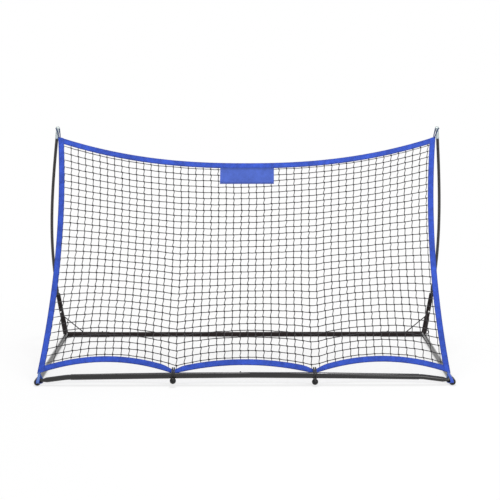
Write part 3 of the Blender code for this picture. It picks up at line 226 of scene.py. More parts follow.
# Cords; a knot's shape is (share of its radius along the cord, share of the cord's radius)
TOP_LOOP_RADIUS = 0.0029
TOP_LOOP_SPREAD = 0.0030
TOP_LOOP_SEAM = 0.004
TOP_LOOP_INSET = 0.010
SHOCK_CORD_RADIUS = 0.0029
SHOCK_CORD_HEIGHT = 0.122
SHOCK_CORD_FOOT_FROM_CORNER = 0.0965
SHOCK_KNOT = ((-1.0, 1.0), (-0.8, 1.35), (-0.4, 1.8), (0.0, 1.87), (0.4, 1.8), (0.8, 1.3), (1.0, 0.9))
KNOT_RADIUS = 0.0042
KNOT_DEPTH = 0.011
SLEEVE_TOP = 0.0157
STUB_RADIUS = 0.015
CORNER_CORD_TOP = 0.040
CORNER_CORD_BULGE = 0.012
CORNER_CORD_ROOT = 0.008

# Snap buttons of the uprights
UPRIGHT_RADIUS = 0.0127
BUTTON_HEIGHT = 0.155
RIM_INNER = 0.0038
RIM_OUTER = 0.0050
RIM_DEPTH = 0.0022

# Camera, from the photograph: distance in front of the connectors, height, pitch and turn
CAMERA_BACK = 5.138
CAMERA_HEIGHT = 1.6955
CAMERA_PITCH = math.radians(10.99)
CAMERA_TURN = math.radians(0.28)
CAMERA_FOCAL_PIXELS = 1060.0
FRAME_PIXELS = 500
SENSOR_WIDTH = 36.0
LAMP_TARGET = Vector((0.0, 0.2, 0.4))


class Value:
    """A socket of a node tree, with arithmetic that adds Math nodes."""

    def __init__(self, nodes, socket):
        self.nodes = nodes
        self.socket = socket

    def output(self, name):
        """Another output of the same node."""
        return Value(self.nodes, self.socket.node.outputs[name])

    def math(self, operation, *others):
        return self.nodes.add("ShaderNodeMath", dict(enumerate((self, *others))), operation=operation)

    def __add__(self, other):
        return self.math("ADD", other)

    def __mul__(self, other):
        return self.math("MULTIPLY", other)

    def __sub__(self, other):
        return self.math("SUBTRACT", other)

    def __rsub__(self, other):
        return self.nodes.add("ShaderNodeMath", {0: other, 1: self}, operation="SUBTRACT")

    __radd__ = __add__
    __rmul__ = __mul__


class Nodes:
    """Adds nodes to a tree."""

    def __init__(self, tree):
        self.tree = tree

    def add(self, kind, values=None, output=0, **settings):
        """A node of a type, with the values or links of its sockets and with its settings."""
        node = self.tree.nodes.new(kind)
        for name, value in settings.items():
            setattr(node, name, value)
        for key, value in (values or {}).items():
            self.fill(node.inputs[key], value)
        return Value(self, node.outputs[output]) if node.outputs else None

    def fill(self, socket, value):
        if isinstance(value, Value):
            self.tree.links.new(value.socket, socket)
        else:
            socket.default_value = value

    def place(self, stretch=(1.0, 1.0, 1.0)):
        """The place on the object, in metres, scaled along each axis."""
        here = self.add("ShaderNodeTexCoord", output="Object")
        return self.add("ShaderNodeMapping", {"Vector": here, "Scale": stretch})

    def noise(self, scale, detail=2.0, roughness=0.5, stretch=(1.0, 1.0, 1.0)):
        values = {"Scale": scale, "Detail": detail, "Roughness": roughness, "Vector": self.place(stretch)}
        return self.add("ShaderNodeTexNoise", values, "Fac")

    def strip_uv(self):
        """Metres along and across a strip or a cord, from the piece's own UV map."""
        split = self.add("ShaderNodeSeparateXYZ", {0: self.add("ShaderNodeUVMap", uv_map="strip")})
        return split, split.output("Y")

    def blend(self, factor, first, second):
        return self.add("ShaderNodeMix", {0: factor, 6: first, 7: second}, 2, data_type="RGBA")

    def tints(self, factor, colour, dark, light):
        """Between a darker and a lighter tint of a colour."""
        return self.blend(factor, tinted(colour, dark), tinted(colour, light))

    def seen(self):
        """1 for a ray of the camera, of a reflection or of a see-through surface, and 0 for other light."""
        path = self.add("ShaderNodeLightPath", output="Is Camera Ray")
        return (path + path.output("Is Glossy Ray") + path.output("Is Transmission Ray")).math("MINIMUM", 1.0)


class Finish(Nodes):
    """The nodes of a Principled material, with the values of its constant sockets."""

    def __init__(self, name, constants):
        self.material = bpy.data.materials.new(name)
        self.material.use_nodes = True
        super().__init__(self.material.node_tree)
        self.shader = self.tree.nodes["Principled BSDF"]
        for socket, value in constants.items():
            self.drive(socket, value)

    def drive(self, socket, value):
        self.fill(self.shader.inputs[socket], value)

    def done(self, colour, roughness, height=None, distance=0.0, strength=1.0):
        """The material, with its colour, its roughness and its relief."""
        self.drive("Base Color", colour)
        self.drive("Roughness", roughness)
        if height:
            relief = {"Height": height, "Distance": distance, "Strength": strength}
            self.drive("Normal", self.add("ShaderNodeBump", relief))
        return self.material


def tinted(colour, share=1.0):
    """A colour made lighter or darker by a share."""
    return tuple(min(channel * share, 1.0) for channel in colour[:3]) + (1.0,)


def powder_coat(name, colour, gloss, shine):
    """Black powder coat on steel tube: a fine orange-peel skin with faint rub marks."""
    finish = Finish(name, {"Specular IOR Level": 0.12, "Coat Roughness": 0.10, "Coat Weight": shine})
    rubs = finish.noise(14.0, 4.0, 0.6)
    peel = finish.noise(520.0)
    return finish.done(finish.tints(rubs, colour, 0.7, 1.5), gloss + 0.10 * rubs, peel, 0.00012, 0.35)


def bright_zinc(name, colour):
    """Bright zinc plate with fine polishing lines."""
    finish = Finish(name, {"Metallic": 1.0})
    lines = finish.noise(900.0, 3.0, 0.6, (1.0, 1.0, 0.15))
    return finish.done(finish.tints(lines, colour, 0.9, 1.05), 0.25 + 0.15 * lines)


def moulded_plastic(name, colour, grain):
    """Injection-moulded plastic with a fine spark-eroded grain."""
    finish = Finish(name, {"Specular IOR Level": 0.28})
    fine = finish.noise(grain, 3.0, 0.6)
    wide = finish.noise(35.0)
    return finish.done(finish.tints(wide, colour, 0.8, 1.3), 0.28 + 0.18 * fine, fine, 0.0001, 0.4)


def clear_vinyl(name, colour):
    """Soft milky vinyl, with painted shade towards its outline, for the light that passes through more of it
    there.
    """
    finish = Finish(name, {"IOR": 1.45, "Coat Roughness": 0.08, "Coat Weight": 0.5})
    haze = finish.noise(60.0, 3.0, 0.55)
    # Painted shade: the colour darkens as the surface turns away from the view, towards the cap's outline.
    rim = finish.add("ShaderNodeLayerWeight", {"Blend": 0.35}, "Facing")
    finish.drive("Alpha", 0.86 + 0.10 * haze)
    body = finish.tints(haze, colour, 0.95, 1.08)
    return finish.done(finish.blend(rim, body, tinted(colour, 0.24)), 0.14 + 0.14 * haze)


def fibre_rod(name, colour):
    """Pultruded fibreglass rod: dark resin with long pale fibres just under the surface."""
    finish = Finish(name, {"Coat Roughness": 0.2, "Coat Weight": 0.3})
    fibres = finish.noise(700.0, 4.0, 0.7, (1.0, 1.0, 0.02))
    paint = finish.tints(fibres.math("POWER", 2.0), colour, 0.6, 2.6)
    return finish.done(paint, 0.30 + 0.22 * fibres, fibres, 0.00008, 0.4)


def woven_cloth(name, colour, pitch, contrast, fold):
    """Plain-woven polyester: yarns that cross over and under, patchy, with painted shade in narrow bands at
    each fold across it.
    """
    finish = Finish(name, {"Sheen Weight": 0.25, "Sheen Roughness": 0.4, "Specular IOR Level": 0.3})
    along, across = finish.strip_uv()
    turn = math.pi / pitch
    over = (along * turn).math("SINE") * (across * turn).math("SINE")
    slow = finish.noise(9.0, 3.0, 0.6)
    patch = finish.noise(42.0, 2.0, 0.6)
    fibre = finish.noise(1400.0, 2.0, 0.7)
    # Painted shade: narrow darker bands across the cloth at its folds and edges, standing in for the fold's
    # shadow.
    painted_fold_shade = ((across * (2 * math.pi / fold)).math("COSINE") * 0.5 + 0.5).math("POWER", 9.0)
    shade = 0.55 + over * 0.22 + (slow - 0.5) * contrast + (patch - 0.5) * contrast + (fibre - 0.5) * 0.3
    paint = finish.tints(shade - painted_fold_shade * 0.55, colour, 0.62, 1.32)
    return finish.done(paint, 0.62 + 0.18 * fibre, over.math("ABSOLUTE") + fibre * 0.4, 0.00016, 0.6)


def webbing(name, colour, edge, width, pitch):
    """Herringbone webbing: slanted ribs that turn back along the middle, a paler core that is partly painted
    highlight, and darker edges in the binding's blue.
    """
    finish = Finish(name, {"Sheen Weight": 0.2, "Specular IOR Level": 0.35})
    along, across = finish.strip_uv()
    out = across.math("ABSOLUTE")
    ribs = ((along + out * 1.4) * (2 * math.pi / pitch)).math("SINE")
    fibre = finish.noise(1600.0, 2.0, 0.7)
    # The strap's own paler colour is partly painted highlight, standing in for the light on the nylon.
    body = finish.tints(0.5 + ribs * 0.35 + (fibre - 0.5) * 0.4, colour, 0.75, 1.2)
    paint = finish.blend((out * (2.0 / width)).math("POWER", 6.0), body, tinted(edge))
    return finish.done(paint, 0.55 + 0.2 * fibre, ribs + fibre * 0.5, 0.0002, 0.7)


def braided_cord(name, colour, fleck, radius, pitch):
    """Braided cord: two sets of strands that wind opposite ways over the core."""
    finish = Finish(name, {"Sheen Weight": 0.2, "Specular IOR Level": 0.3})
    along, across = finish.strip_uv()
    turn, wind = along * (2 * math.pi / pitch), across * (8.0 / radius)
    one, two = (turn + wind).math("SINE"), (turn - wind).math("SINE")
    fibre = finish.noise(1800.0, 2.0, 0.7)
    spots = ((one + two) * 0.5).math("POWER", 9.0) + fibre * 0.15
    paint = finish.blend(spots, tinted(colour), tinted(fleck))
    return finish.done(paint, 0.6 + 0.2 * fibre, one * two + fibre * 0.3, 0.00025, 0.8)


def net_twine(name, colour):
    """Twisted polyethylene twine: fine fibres with a dull shine."""
    finish = Finish(name, {"Sheen Weight": 0.15, "Specular IOR Level": 0.4})
    fibre = finish.noise(1500.0, 3.0, 0.7)
    relief = finish.noise(420.0, 1.0) + fibre * 0.5
    return finish.done(finish.tints(fibre, colour, 0.6, 2.2), 0.6 + 0.25 * fibre, relief, 0.0004, 0.8)


def sewing_thread(name, colour):
    """Polyester thread with the light catching its twist."""
    finish = Finish(name, {"Sheen Weight": 0.3})
    twist = finish.noise(2400.0, 2.0, 0.6)
    return finish.done(finish.tints(twist, colour, 0.75, 1.3), 0.45 + 0.2 * twist)


def base_to_world(point):
    """A point in base coordinates, whose y is 0 on the line of the front connectors, put in the frame."""
    return Vector((point[0], point[1] - CENTRE_Y, point[2]))


def front_bar_point(x):
    share = x / FRONT_BAR_END_X
    return Vector((x, FRONT_BAR_Y, FRONT_BAR_END_HEIGHT + FRONT_BAR_RISE * (1 - share * share)))


def upright_point(side, height):
    start = Vector((side * (HALF_SPACING + STUB_SETOUT), BASE_DEPTH, REAR_HEIGHT))
    along = Vector((side * math.sin(POLE_LEAN), 0.0, math.cos(POLE_LEAN)))
    return start + along * ((height - start.z) / along.z)


def pole_point(side, height):
    """The pole's axis: straight in its socket, then bent like a rod that is pulled at its tip."""
    if height <= UPRIGHT_TOP:
        return upright_point(side, height)
    start = upright_point(side, UPRIGHT_TOP)
    share = (height - UPRIGHT_TOP) / (POLE_TIP_HEIGHT - UPRIGHT_TOP)
    bend = (3 * share**2 - share**3) / 2
    straight_tip = upright_point(side, POLE_TIP_HEIGHT)
    pull = Vector((side * POLE_TIP_X + POLE_TIP_SHIFT, POLE_TIP_Y, POLE_TIP_HEIGHT)) - straight_tip
    return start + (straight_tip - start) * share + pull * bend


def net_point(across, along, proud=0.0):
    """A point of the net plane: across it, up along its slope, and proud of it towards the player."""
    slope = Vector((0.0, math.sin(NET_TILT), math.cos(NET_TILT)))
    normal = Vector((0.0, -math.cos(NET_TILT), math.sin(NET_TILT)))
    shift = NET_FOOT_SHIFT + (NET_HEAD_SHIFT - NET_FOOT_SHIFT) * along / NET_RUN
    return Vector((across + shift, NET_FOOT_Y, NET_FOOT_HEIGHT)) + slope * along + normal * proud


def side_outer(along):
    """Half the width of the bound net at a place along its slope."""
    share = along / NET_RUN
    chord = BORDER_BOTTOM_HALF + (BORDER_TOP_HALF - BORDER_BOTTOM_HALF) * share
    return chord - BORDER_SIDE_BOW * 4 * share * (1 - share)


def top_outer(across):
    """The sagging upper edge of the binding."""
    return NET_RUN - TOP_SAG * (1 - (abs(across) / BORDER_TOP_HALF) ** TOP_SAG_POWER)


def bottom_outer(across):
    """The lower edge of the binding: three scallops that hang from the corners and the two toggles."""
    reach = abs(across)
    if reach <= TOGGLE_X:
        return TOGGLE_LIFT + MIDDLE_SCALLOP_RISE * (1 - (reach / TOGGLE_X) ** 2)
    share = min((reach - TOGGLE_X) / (BORDER_BOTTOM_HALF - TOGGLE_X), 1.0)
    chord = TOGGLE_LIFT + (BOTTOM_CORNER_LIFT - TOGGLE_LIFT) * share
    return chord + SIDE_SCALLOP_RISE * 4 * share * (1 - share)


def near_toggle(across):
    """1 at a toggle, falling to 0 where the cloth is no longer pinched."""
    return math.exp(-(((abs(across) - TOGGLE_X) / PINCH_REACH) ** 2))


def bottom_width(across):
    """The width of the bottom binding, which the toggles pinch."""
    return BORDER_WIDTH - PINCH_DEPTH * near_toggle(across)


def top_line(across, inward):
    """A line of the top binding, as far from its edge along a vertical cut as the edge's slope asks."""
    step = 0.002
    rise = top_outer(abs(across) + step) - top_outer(max(abs(across) - step, 0.0))
    return top_outer(across) - inward * math.hypot(1.0, rise / (2 * step))


def bottom_line(across, inward):
    return bottom_outer(across) + min(inward, bottom_width(across))


def gathered_line(across, inward):
    """A line of the bottom binding, whose cloth is gathered where a toggle pinches it."""
    return bottom_outer(across) + inward * bottom_width(across) / BORDER_WIDTH


def settle(share, half_width, line):
    """The place on a line that lies a share of the way out to a side edge."""
    along = line(share * BORDER_TOP_HALF)
    for _ in range(6):
        across = share * half_width(along)
        along = line(across)
    return across, along


def cross_spot(line, share, inward, gap=0.0):
    """A place on a line of the top or bottom binding, a share of the way out to a side binding."""
    return settle(share, lambda along: side_outer(along) - BORDER_WIDTH - gap, lambda x: line(x, inward))


def side_spot(side, share, inward):
    """A place on a line of a side binding, a share of the way up to the top edge."""
    low = bottom_outer(side_outer(0.0) - inward)
    high = top_outer(side_outer(NET_RUN) - inward)
    along = low + (high - low) * share
    return side * (side_outer(along) - inward), along


def spread(first, last, steps):
    """Even steps from a first to a last value."""
    return [first + (last - first) * k / steps for k in range(steps + 1)]


def circle(sides):
    return [2 * math.pi * k / sides for k in range(sides)]


def arc(centre, ahead, aside, radius, turns):
    """The points at some turns from one direction towards another."""
    return [centre + (ahead * math.cos(turn) + aside * math.sin(turn)) * radius for turn in turns]


def distances(path):
    """How far along a path each of its points lies."""
    far = [0.0]
    for here, there in zip(path, path[1:]):
        far.append(far[-1] + (there - here).length)
    return far


def directions(path):
    ends = zip([path[0]] + path[:-1], path[1:] + [path[-1]])
    return [(after - before).normalized() for before, after in ends]


def rounded_route(points, steps):
    """A smooth curve through a list of points, with some steps between each two."""
    route = []
    whole = [points[0]] + points + [points[-1]]
    for p0, p1, p2, p3 in zip(whole, whole[1:], whole[2:], whole[3:]):
        for n in range(steps):
            t = n / steps
            bend = (p0 * 2 - p1 * 5 + p2 * 4 - p3) * t**2 + (p1 * 3 - p0 - p2 * 3 + p3) * t**3
            route.append((p1 * 2 + (p2 - p0) * t + bend) / 2)
    return route + [points[-1]]


def placed(name, data):
    """A new object in the scene."""
    obj = bpy.data.objects.new(name, data)
    bpy.context.scene.collection.objects.link(obj)
    return obj


def painted(mesh, material):
    mesh.materials.clear()
    mesh.materials.append(material)
    return mesh


def piece(name, mesh, material, slot, *nodes, body="base"):
    """A finished piece of a mesh in the frame's coordinates, which rides on a body."""
    obj = placed(name, painted(mesh, material) if material else mesh)
    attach(obj, body)
    if nodes:
        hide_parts(*nodes)
    return obj


def stretched_piece(name, mesh, material, node):
    """A piece whose placement is baked into its mesh, in place of an imported node."""
    obj = placed(name, painted(mesh, material))
    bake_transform(obj)
    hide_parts(node)


def to_data(name, mesh, angle):
    """Turns a bmesh into a mesh that is smooth but for edges sharper than an angle."""
    data = bpy.data.meshes.new(name)
    mesh.to_mesh(data)
    mesh.free()
    data.shade_smooth()
    data.set_sharp_from_angle(angle=math.radians(angle))
    return data


def to_mesh(name, mesh, angle=35.0):
    """Turns a bmesh in base coordinates into a smooth mesh in the frame's coordinates."""
    bmesh.ops.translate(mesh, verts=mesh.verts, vec=(0.0, -CENTRE_Y, 0.0))
    bmesh.ops.recalc_face_normals(mesh, faces=mesh.faces)
    return to_data(name, mesh, angle)


def merged_copy(node):
    """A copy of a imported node's mesh with its loose triangles joined and its round sides smooth."""
    mesh = bmesh.new()
    mesh.from_mesh(frame["nodes"][node].data)
    bmesh.ops.remove_doubles(mesh, verts=mesh.verts, dist=0.00002)
    bmesh.ops.dissolve_limit(mesh, angle_limit=math.radians(0.5), verts=mesh.verts, edges=mesh.edges)
    return to_data(f"{node}_finished", mesh, 35.0)


def sweep(name, path, sections, angle=60.0):
    """A closed skin over rings of (point, metres across), with a UV map in metres along and across."""
    mesh = bmesh.new()
    uv = mesh.loops.layers.uv.new("strip")
    rows = [[mesh.verts.new(point) for point, metres in section] for section in sections]
    far = distances(path)
    count = len(sections[0])
    for r in range(len(rows) - 1):
        for k in range(count):
            n = (k + 1) % count
            near = sections[r][k][1]
            beyond = sections[r][n][1] if n else near
            face = mesh.faces.new((rows[r][k], rows[r][n], rows[r + 1][n], rows[r + 1][k]))
            spots = ((far[r], near), (far[r], beyond), (far[r + 1], beyond), (far[r + 1], near))
            for loop, spot in zip(face.loops, spots):
                loop[uv].uv = spot
    for end in (0, -1):
        for loop in mesh.faces.new(rows[end]).loops:
            loop[uv].uv = (far[end], 0.0)
    return to_mesh(name, mesh, angle)


def round_cord(name, path, radius, up, sides=14, radii=None):
    """A cord whose rings don't twist, with a UV map in metres along and round it."""
    turns = circle(sides)
    sections = []
    for centre, along, size in zip(path, directions(path), radii or [radius] * len(path)):
        up = (up - along * up.dot(along)).normalized()
        points = arc(centre, up, along.cross(up), size, turns)
        sections.append([(point, radius * turn) for point, turn in zip(points, turns)])
    return sweep(name, path, sections)


def flat_band(name, path, wide_ways, widths, thickness):
    """A webbing band with rounded edges, from its width and its width's direction at each point of a path."""
    edge = []
    for turn in spread(-math.pi / 2, math.pi / 2, 4):
        edge.append((1, thickness / 2 * (math.cos(turn) - 1), thickness / 2 * math.sin(turn)))
    edge += [(-1, -inward, -rise) for _, inward, rise in edge]
    sections = []
    for centre, head, wide, width in zip(path, directions(path), wide_ways, widths):
        wide = (wide - head * wide.dot(head)).normalized()
        thick = head.cross(wide)
        profile = [(end * width / 2 + inward, rise) for end, inward, rise in edge]
        sections.append([(centre + wide * a + thick * b, a) for a, b in profile])
    return sweep(name, path, sections)


def solid_of_turning(name, profile, origin, way, sides, closed=True):
    """A turned solid of (distance along its axis, radius) rings, which has end faces or is a ring itself."""
    mesh = bmesh.new()
    way = way.normalized()
    helper = UP if abs(way.z) < 0.9 else -BACK
    high = (helper - way * helper.dot(way)).normalized()
    rows = []
    for reach, radius in profile:
        ring = arc(origin + way * reach, high, way.cross(high), radius, circle(sides))
        rows.append([mesh.verts.new(point) for point in ring])
    if closed:
        mesh.faces.new(rows[0])
        mesh.faces.new(rows[-1])
    else:
        rows.append(rows[0])
    for here, there in zip(rows, rows[1:]):
        for k in range(sides):
            n = (k + 1) % sides
            mesh.faces.new((here[k], here[n], there[n], there[k]))
    return to_mesh(name, mesh)


def geometry_tree(name, sockets):
    """A Geometry Nodes tree with named inputs, (name, kind, default) each, and what gives their values."""
    tree = bpy.data.node_groups.new(name, "GeometryNodeTree")
    for label, kind, default in [("Geometry", "Geometry", None), *sockets]:
        socket = tree.interface.new_socket(label, in_out="INPUT", socket_type=f"NodeSocket{kind}")
        if default is not None:
            socket.default_value = default
    tree.interface.new_socket("Geometry", in_out="OUTPUT", socket_type="NodeSocketGeometry")
    nodes = Nodes(tree)
    return nodes, nodes.add("NodeGroupInput").output


def finish_tree(nodes, geometry, material):
    """Ends a tree: real geometry, smooth, with its material."""
    real = nodes.add("GeometryNodeRealizeInstances", {"Geometry": geometry})
    even = nodes.add("GeometryNodeSetShadeSmooth", {"Geometry": real})
    coloured = nodes.add("GeometryNodeSetMaterial", {"Geometry": even, "Material": material})
    nodes.add("NodeGroupOutput", {"Geometry": coloured})
    return nodes.tree


def twine_tree():
    """Round twine along each line, and a knot at each flagged point."""
    nodes, given = geometry_tree("knotted_twine", [
        ("Twine radius", "Float", 0.0012),
        ("Knot size", "Vector", (0.003, 0.0022, 0.003)),
        ("Knot tilt", "Rotation", None),
        ("Material", "Material", None),
    ])
    lines = nodes.add("GeometryNodeMeshToCurve", {"Mesh": given("Geometry")})
    fullness = nodes.add("GeometryNodeInputNamedAttribute", {"Name": "fullness"}, data_type="FLOAT")
    circle_values = {"Resolution": 6, "Radius": given("Twine radius")}
    ring = nodes.add("GeometryNodeCurvePrimitiveCircle", circle_values, mode="RADIUS")
    skin = {"Curve": lines, "Profile Curve": ring, "Fill Caps": True, "Scale": fullness}
    twine = nodes.add("GeometryNodeCurveToMesh", skin)
    flag = nodes.add("GeometryNodeInputNamedAttribute", {"Name": "tied"}, data_type="BOOLEAN")
    flagged = {"Mesh": given("Geometry"), "Selection": flag}
    points = nodes.add("GeometryNodeMeshToPoints", flagged, mode="VERTICES")
    ball = nodes.add("GeometryNodeMeshUVSphere", {"Segments": 6, "Rings": 4, "Radius": 1.0})
    limits = {0: (0.85, 0.85, 0.85), 1: (1.15, 1.15, 1.15), "Seed": 3}
    wobble = nodes.add("FunctionNodeRandomValue", limits, data_type="FLOAT_VECTOR")
    size = nodes.add("ShaderNodeVectorMath", {0: given("Knot size"), 1: wobble}, operation="MULTIPLY")
    copies = {"Points": points, "Instance": ball, "Rotation": given("Knot tilt"), "Scale": size}
    knots = nodes.add("GeometryNodeInstanceOnPoints", copies)
    both = nodes.add("GeometryNodeJoinGeometry", {"Geometry": twine})
    nodes.fill(both.socket.node.inputs["Geometry"], knots)
    return finish_tree(nodes, both, given("Material"))


def bead_tree():
    """Oval beads in a row along each line: stitches along a seam."""
    nodes, given = geometry_tree("beads_along_a_line", [
        ("Spacing", "Float", 0.005),
        ("Bead size", "Vector", (0.0019, 0.0004, 0.0003)),
        ("Segments", "Int", 6),
        ("Material", "Material", None),
    ])
    lines = nodes.add("GeometryNodeMeshToCurve", {"Mesh": given("Geometry")})
    even = nodes.add("GeometryNodeResampleCurve", {"Curve": lines, "Length": given("Spacing")}, mode="LENGTH")
    tangent = nodes.add("GeometryNodeInputTangent")
    turned = nodes.add("FunctionNodeAlignRotationToVector", {"Vector": tangent}, axis="X")
    ball = nodes.add("GeometryNodeMeshUVSphere", {"Segments": given("Segments"), "Rings": 4, "Radius": 1.0})
    copies = {"Points": even, "Instance": ball, "Rotation": turned, "Scale": given("Bead size")}
    return finish_tree(nodes, nodes.add("GeometryNodeInstanceOnPoints", copies), given("Material"))


def line_mesh(name, lines):
    """A mesh of polylines, each point of which is (place in base coordinates, whether a knot is tied there,
    the twine's share of its full thickness)."""
    points = [point for line in lines for point in line]
    edges = []
    first = 0
    for line in lines:
        edges += [(k, k + 1) for k in range(first, first + len(line) - 1)]
        first += len(line)
    data = bpy.data.meshes.new(name)
    data.from_pydata([tuple(base_to_world(place)) for place, tied, full in points], edges, [])
    flags = [bool(tied) for place, tied, full in points]
    data.attributes.new("tied", "BOOLEAN", "POINT").data.foreach_set("value", flags)
    thickness = [full for place, tied, full in points]
    data.attributes.new("fullness", "FLOAT", "POINT").data.foreach_set("value", thickness)
    return data


def grown(name, lines, tree_name, maker, values):
    """The plain mesh that a Geometry Nodes tree makes of lines of points."""
    tree = bpy.data.node_groups.get(tree_name) or maker()
    base = placed(f"{name}_base", line_mesh(f"{name}_lines", lines))
    modifier = base.modifiers.new("growth", "NODES")
    modifier.node_group = tree
    for item in tree.interface.items_tree:
        if item.item_type == "SOCKET" and item.in_out == "INPUT" and item.name in values:
            modifier[item.identifier] = values[item.name]
    bpy.context.view_layer.update()
    graph = bpy.context.evaluated_depsgraph_get()
    mesh = bpy.data.meshes.new_from_object(base.evaluated_get(graph), depsgraph=graph)
    mesh.name = name
    bpy.data.objects.remove(base, do_unlink=True)
    return mesh


def stitches(name, lines, spacing, size, colour, slot):
    """A row of stitches along each line of places."""
    thread = sewing_thread(f"{name}_thread", colour)
    values = {"Spacing": spacing, "Bead size": size, "Segments": 5, "Material": thread}
    seams = [[(place, False, 1.0) for place in line] for line in lines]
    piece(name, grown(name, seams, "beads_along_a_line", bead_tree, values), None, slot)


def net_place(share, height):
    """A place on the net: a share of its width from -1 to 1, and a share of its height from 0 to 1."""
    def line(across):
        low = bottom_line(across, NET_SEAT)
        return low + (top_line(across, NET_SEAT) - low) * height

    return settle(share, lambda along: side_outer(along) - NET_SEAT, line)


def row_rise(across):
    """How far the rows rise half-way up the net, where the twine spans the notches that the toggles make."""
    rise = ROW_RISE
    for name, side in SIDES.items():
        height, reach = NOTCH_SPANS[name]
        rise += height * math.exp(-(((across - side * TOGGLE_X) / reach) ** 2))
    return rise


def row_tilt(share, height):
    """How far a row rises at a place because the net is drawn up at the right and down at the left."""
    right = RIGHT_RISE * max(share, 0.0) * max(2 * height - 0.9, 0.0)
    left = LEFT_FALL * max(-share, 0.0) * max(1 - 1.4 * height, 0.0)
    return (right - left) * min(height / TILT_FADE, (1 - height) / TILT_FADE, 1.0)


def column_spread(share, height):
    """How far a column strays sideways from its even place."""
    near_foot = max(1 - height / FOOT_SPREAD_TO, 0.0)
    top = TOP_SPREAD * max(height - TOP_SPREAD_FROM, 0.0) / (1 - TOP_SPREAD_FROM)
    drift = TOP_DRIFT * max(height - TOP_DRIFT_FROM, 0.0) / (1 - TOP_DRIFT_FROM) + FOOT_DRIFT * near_foot
    return 4 * share * (1 - abs(share)) * (top + FOOT_SPREAD * near_foot) + drift * (1 - share * share)


def inside_binding(across, along):
    """How far a place lies within the opening of the binding, from its nearest inner edge."""
    beside = side_outer(along) - BORDER_WIDTH - abs(across)
    return min(beside, along - bottom_line(across, BORDER_WIDTH), top_line(across, BORDER_WIDTH) - along)


def tag_bottom():
    return top_line(0.0, BORDER_WIDTH) - TAG_HEIGHT


def behind_tag(across, along):
    """1 behind the tag, falling to 0 a short way past its edges."""
    past = max(abs(across - TAG_X) - TAG_WIDTH / 2, tag_bottom() - along, 0.0)
    return max(1.0 - past / TAG_CLEARANCE_REACH, 0.0)


def colour_setting(name, piece_name, default):
    about = f"Colour of the {piece_name}"
    return FloatVectorProperty(name=name, description=about, subtype="COLOR", size=3, default=default)


def number_setting(name, about, default, **more):
    return FloatProperty(name=name, description=about, default=default, **more)


def length_setting(name, about, default):
    return number_setting(name, about, default, unit="LENGTH")


class ReboundNetSettings(bpy.types.PropertyGroup):
    """The twine net."""

    columns: number_setting("Columns", "Meshes across the net", 49.7, min=4.0)
    rows: number_setting("Rows", "Meshes up the net", 31.15, min=4.0)
    twine_radius: length_setting("Twine radius", "Half the thickness of the twine", 0.00220)
    knot_radius: length_setting("Knot radius", "Half the width of a knot", 0.0056)
    jog: length_setting("Jog", "How far a column steps sideways at its knots", 0.0021)
    looseness: length_setting("Looseness", "How far a knot strays from the even lattice", 0.0012)
    rise: length_setting("Rise", "How much higher the rows are at the right than in the middle", 0.0055)
    colour: colour_setting("Twine colour", "twine", (0.010, 0.009, 0.011))


class ReboundClothSettings(bpy.types.PropertyGroup):
    """The folded binding, the tag, the straps and the cords."""

    binding_colour: colour_setting("Binding colour", "folded binding", (0.031, 0.086, 0.53))
    tag_colour: colour_setting("Tag colour", "tag", (0.066, 0.128, 0.54))
    # Partly painted highlight: the straps' paler blue stands in part for the light on the nylon.
    strap_colour_and_highlight: colour_setting("Strap colour", "corner straps", (0.115, 0.215, 0.54))
    cord_colour: colour_setting("Loop colour", "top loops", (0.016, 0.040, 0.150))
    elastic_colour: colour_setting("Elastic colour", "elastic cords", (0.012, 0.012, 0.013))
    stitch_length: length_setting("Stitch spacing", "Distance from stitch to stitch", 0.0048)
    pucker: length_setting("Pucker", "Height of the cloth's small waves", 0.0012)


class ReboundFrameSettings(bpy.types.PropertyGroup):
    """The tubes, the poles and the moulded pieces."""

    steel_colour: colour_setting("Powder coat", "powder coat", (0.006, 0.0055, 0.006))
    upper_colour: colour_setting("Rear steel", "satin coat behind", (0.011, 0.0065, 0.0065))
    zinc_colour: colour_setting("Zinc", "snap buttons", (0.90, 0.90, 0.88))
    plastic_colour: colour_setting("Plastic", "moulded pieces", (0.005, 0.005, 0.0055))
    pole_colour: colour_setting("Pole", "fibreglass poles", (0.013, 0.009, 0.008))
    cap_colour: colour_setting("Pole cap", "clear caps", (0.72, 0.82, 0.82))


class ReboundStageSettings(bpy.types.PropertyGroup):
    """The floor, the lights and the camera."""

    floor_colour: colour_setting("Floor", "floor", (0.97, 0.97, 0.97))
    clearness: number_setting("Clearness", "How white the nearer floor is seen", 0.75, min=0.0, max=1.0)
    clear_start: length_setting("Clear from", "Where the floor starts to fade to white", 1.2)
    clear_end: length_setting("Clear beyond", "Where the floor is plain white", 2.2)
    sky_strength: number_setting("Sky", "Strength of the light from all round", 0.43)
    top_power: number_setting("Top light", "Power of the large lamp above", 245.0, unit="POWER")
    shadow_power: number_setting("Shadow light", "Power of the small lamp above", 120.0, unit="POWER")
    front_power: number_setting("Front light", "Power of the large lamp in front", 80.0, unit="POWER")


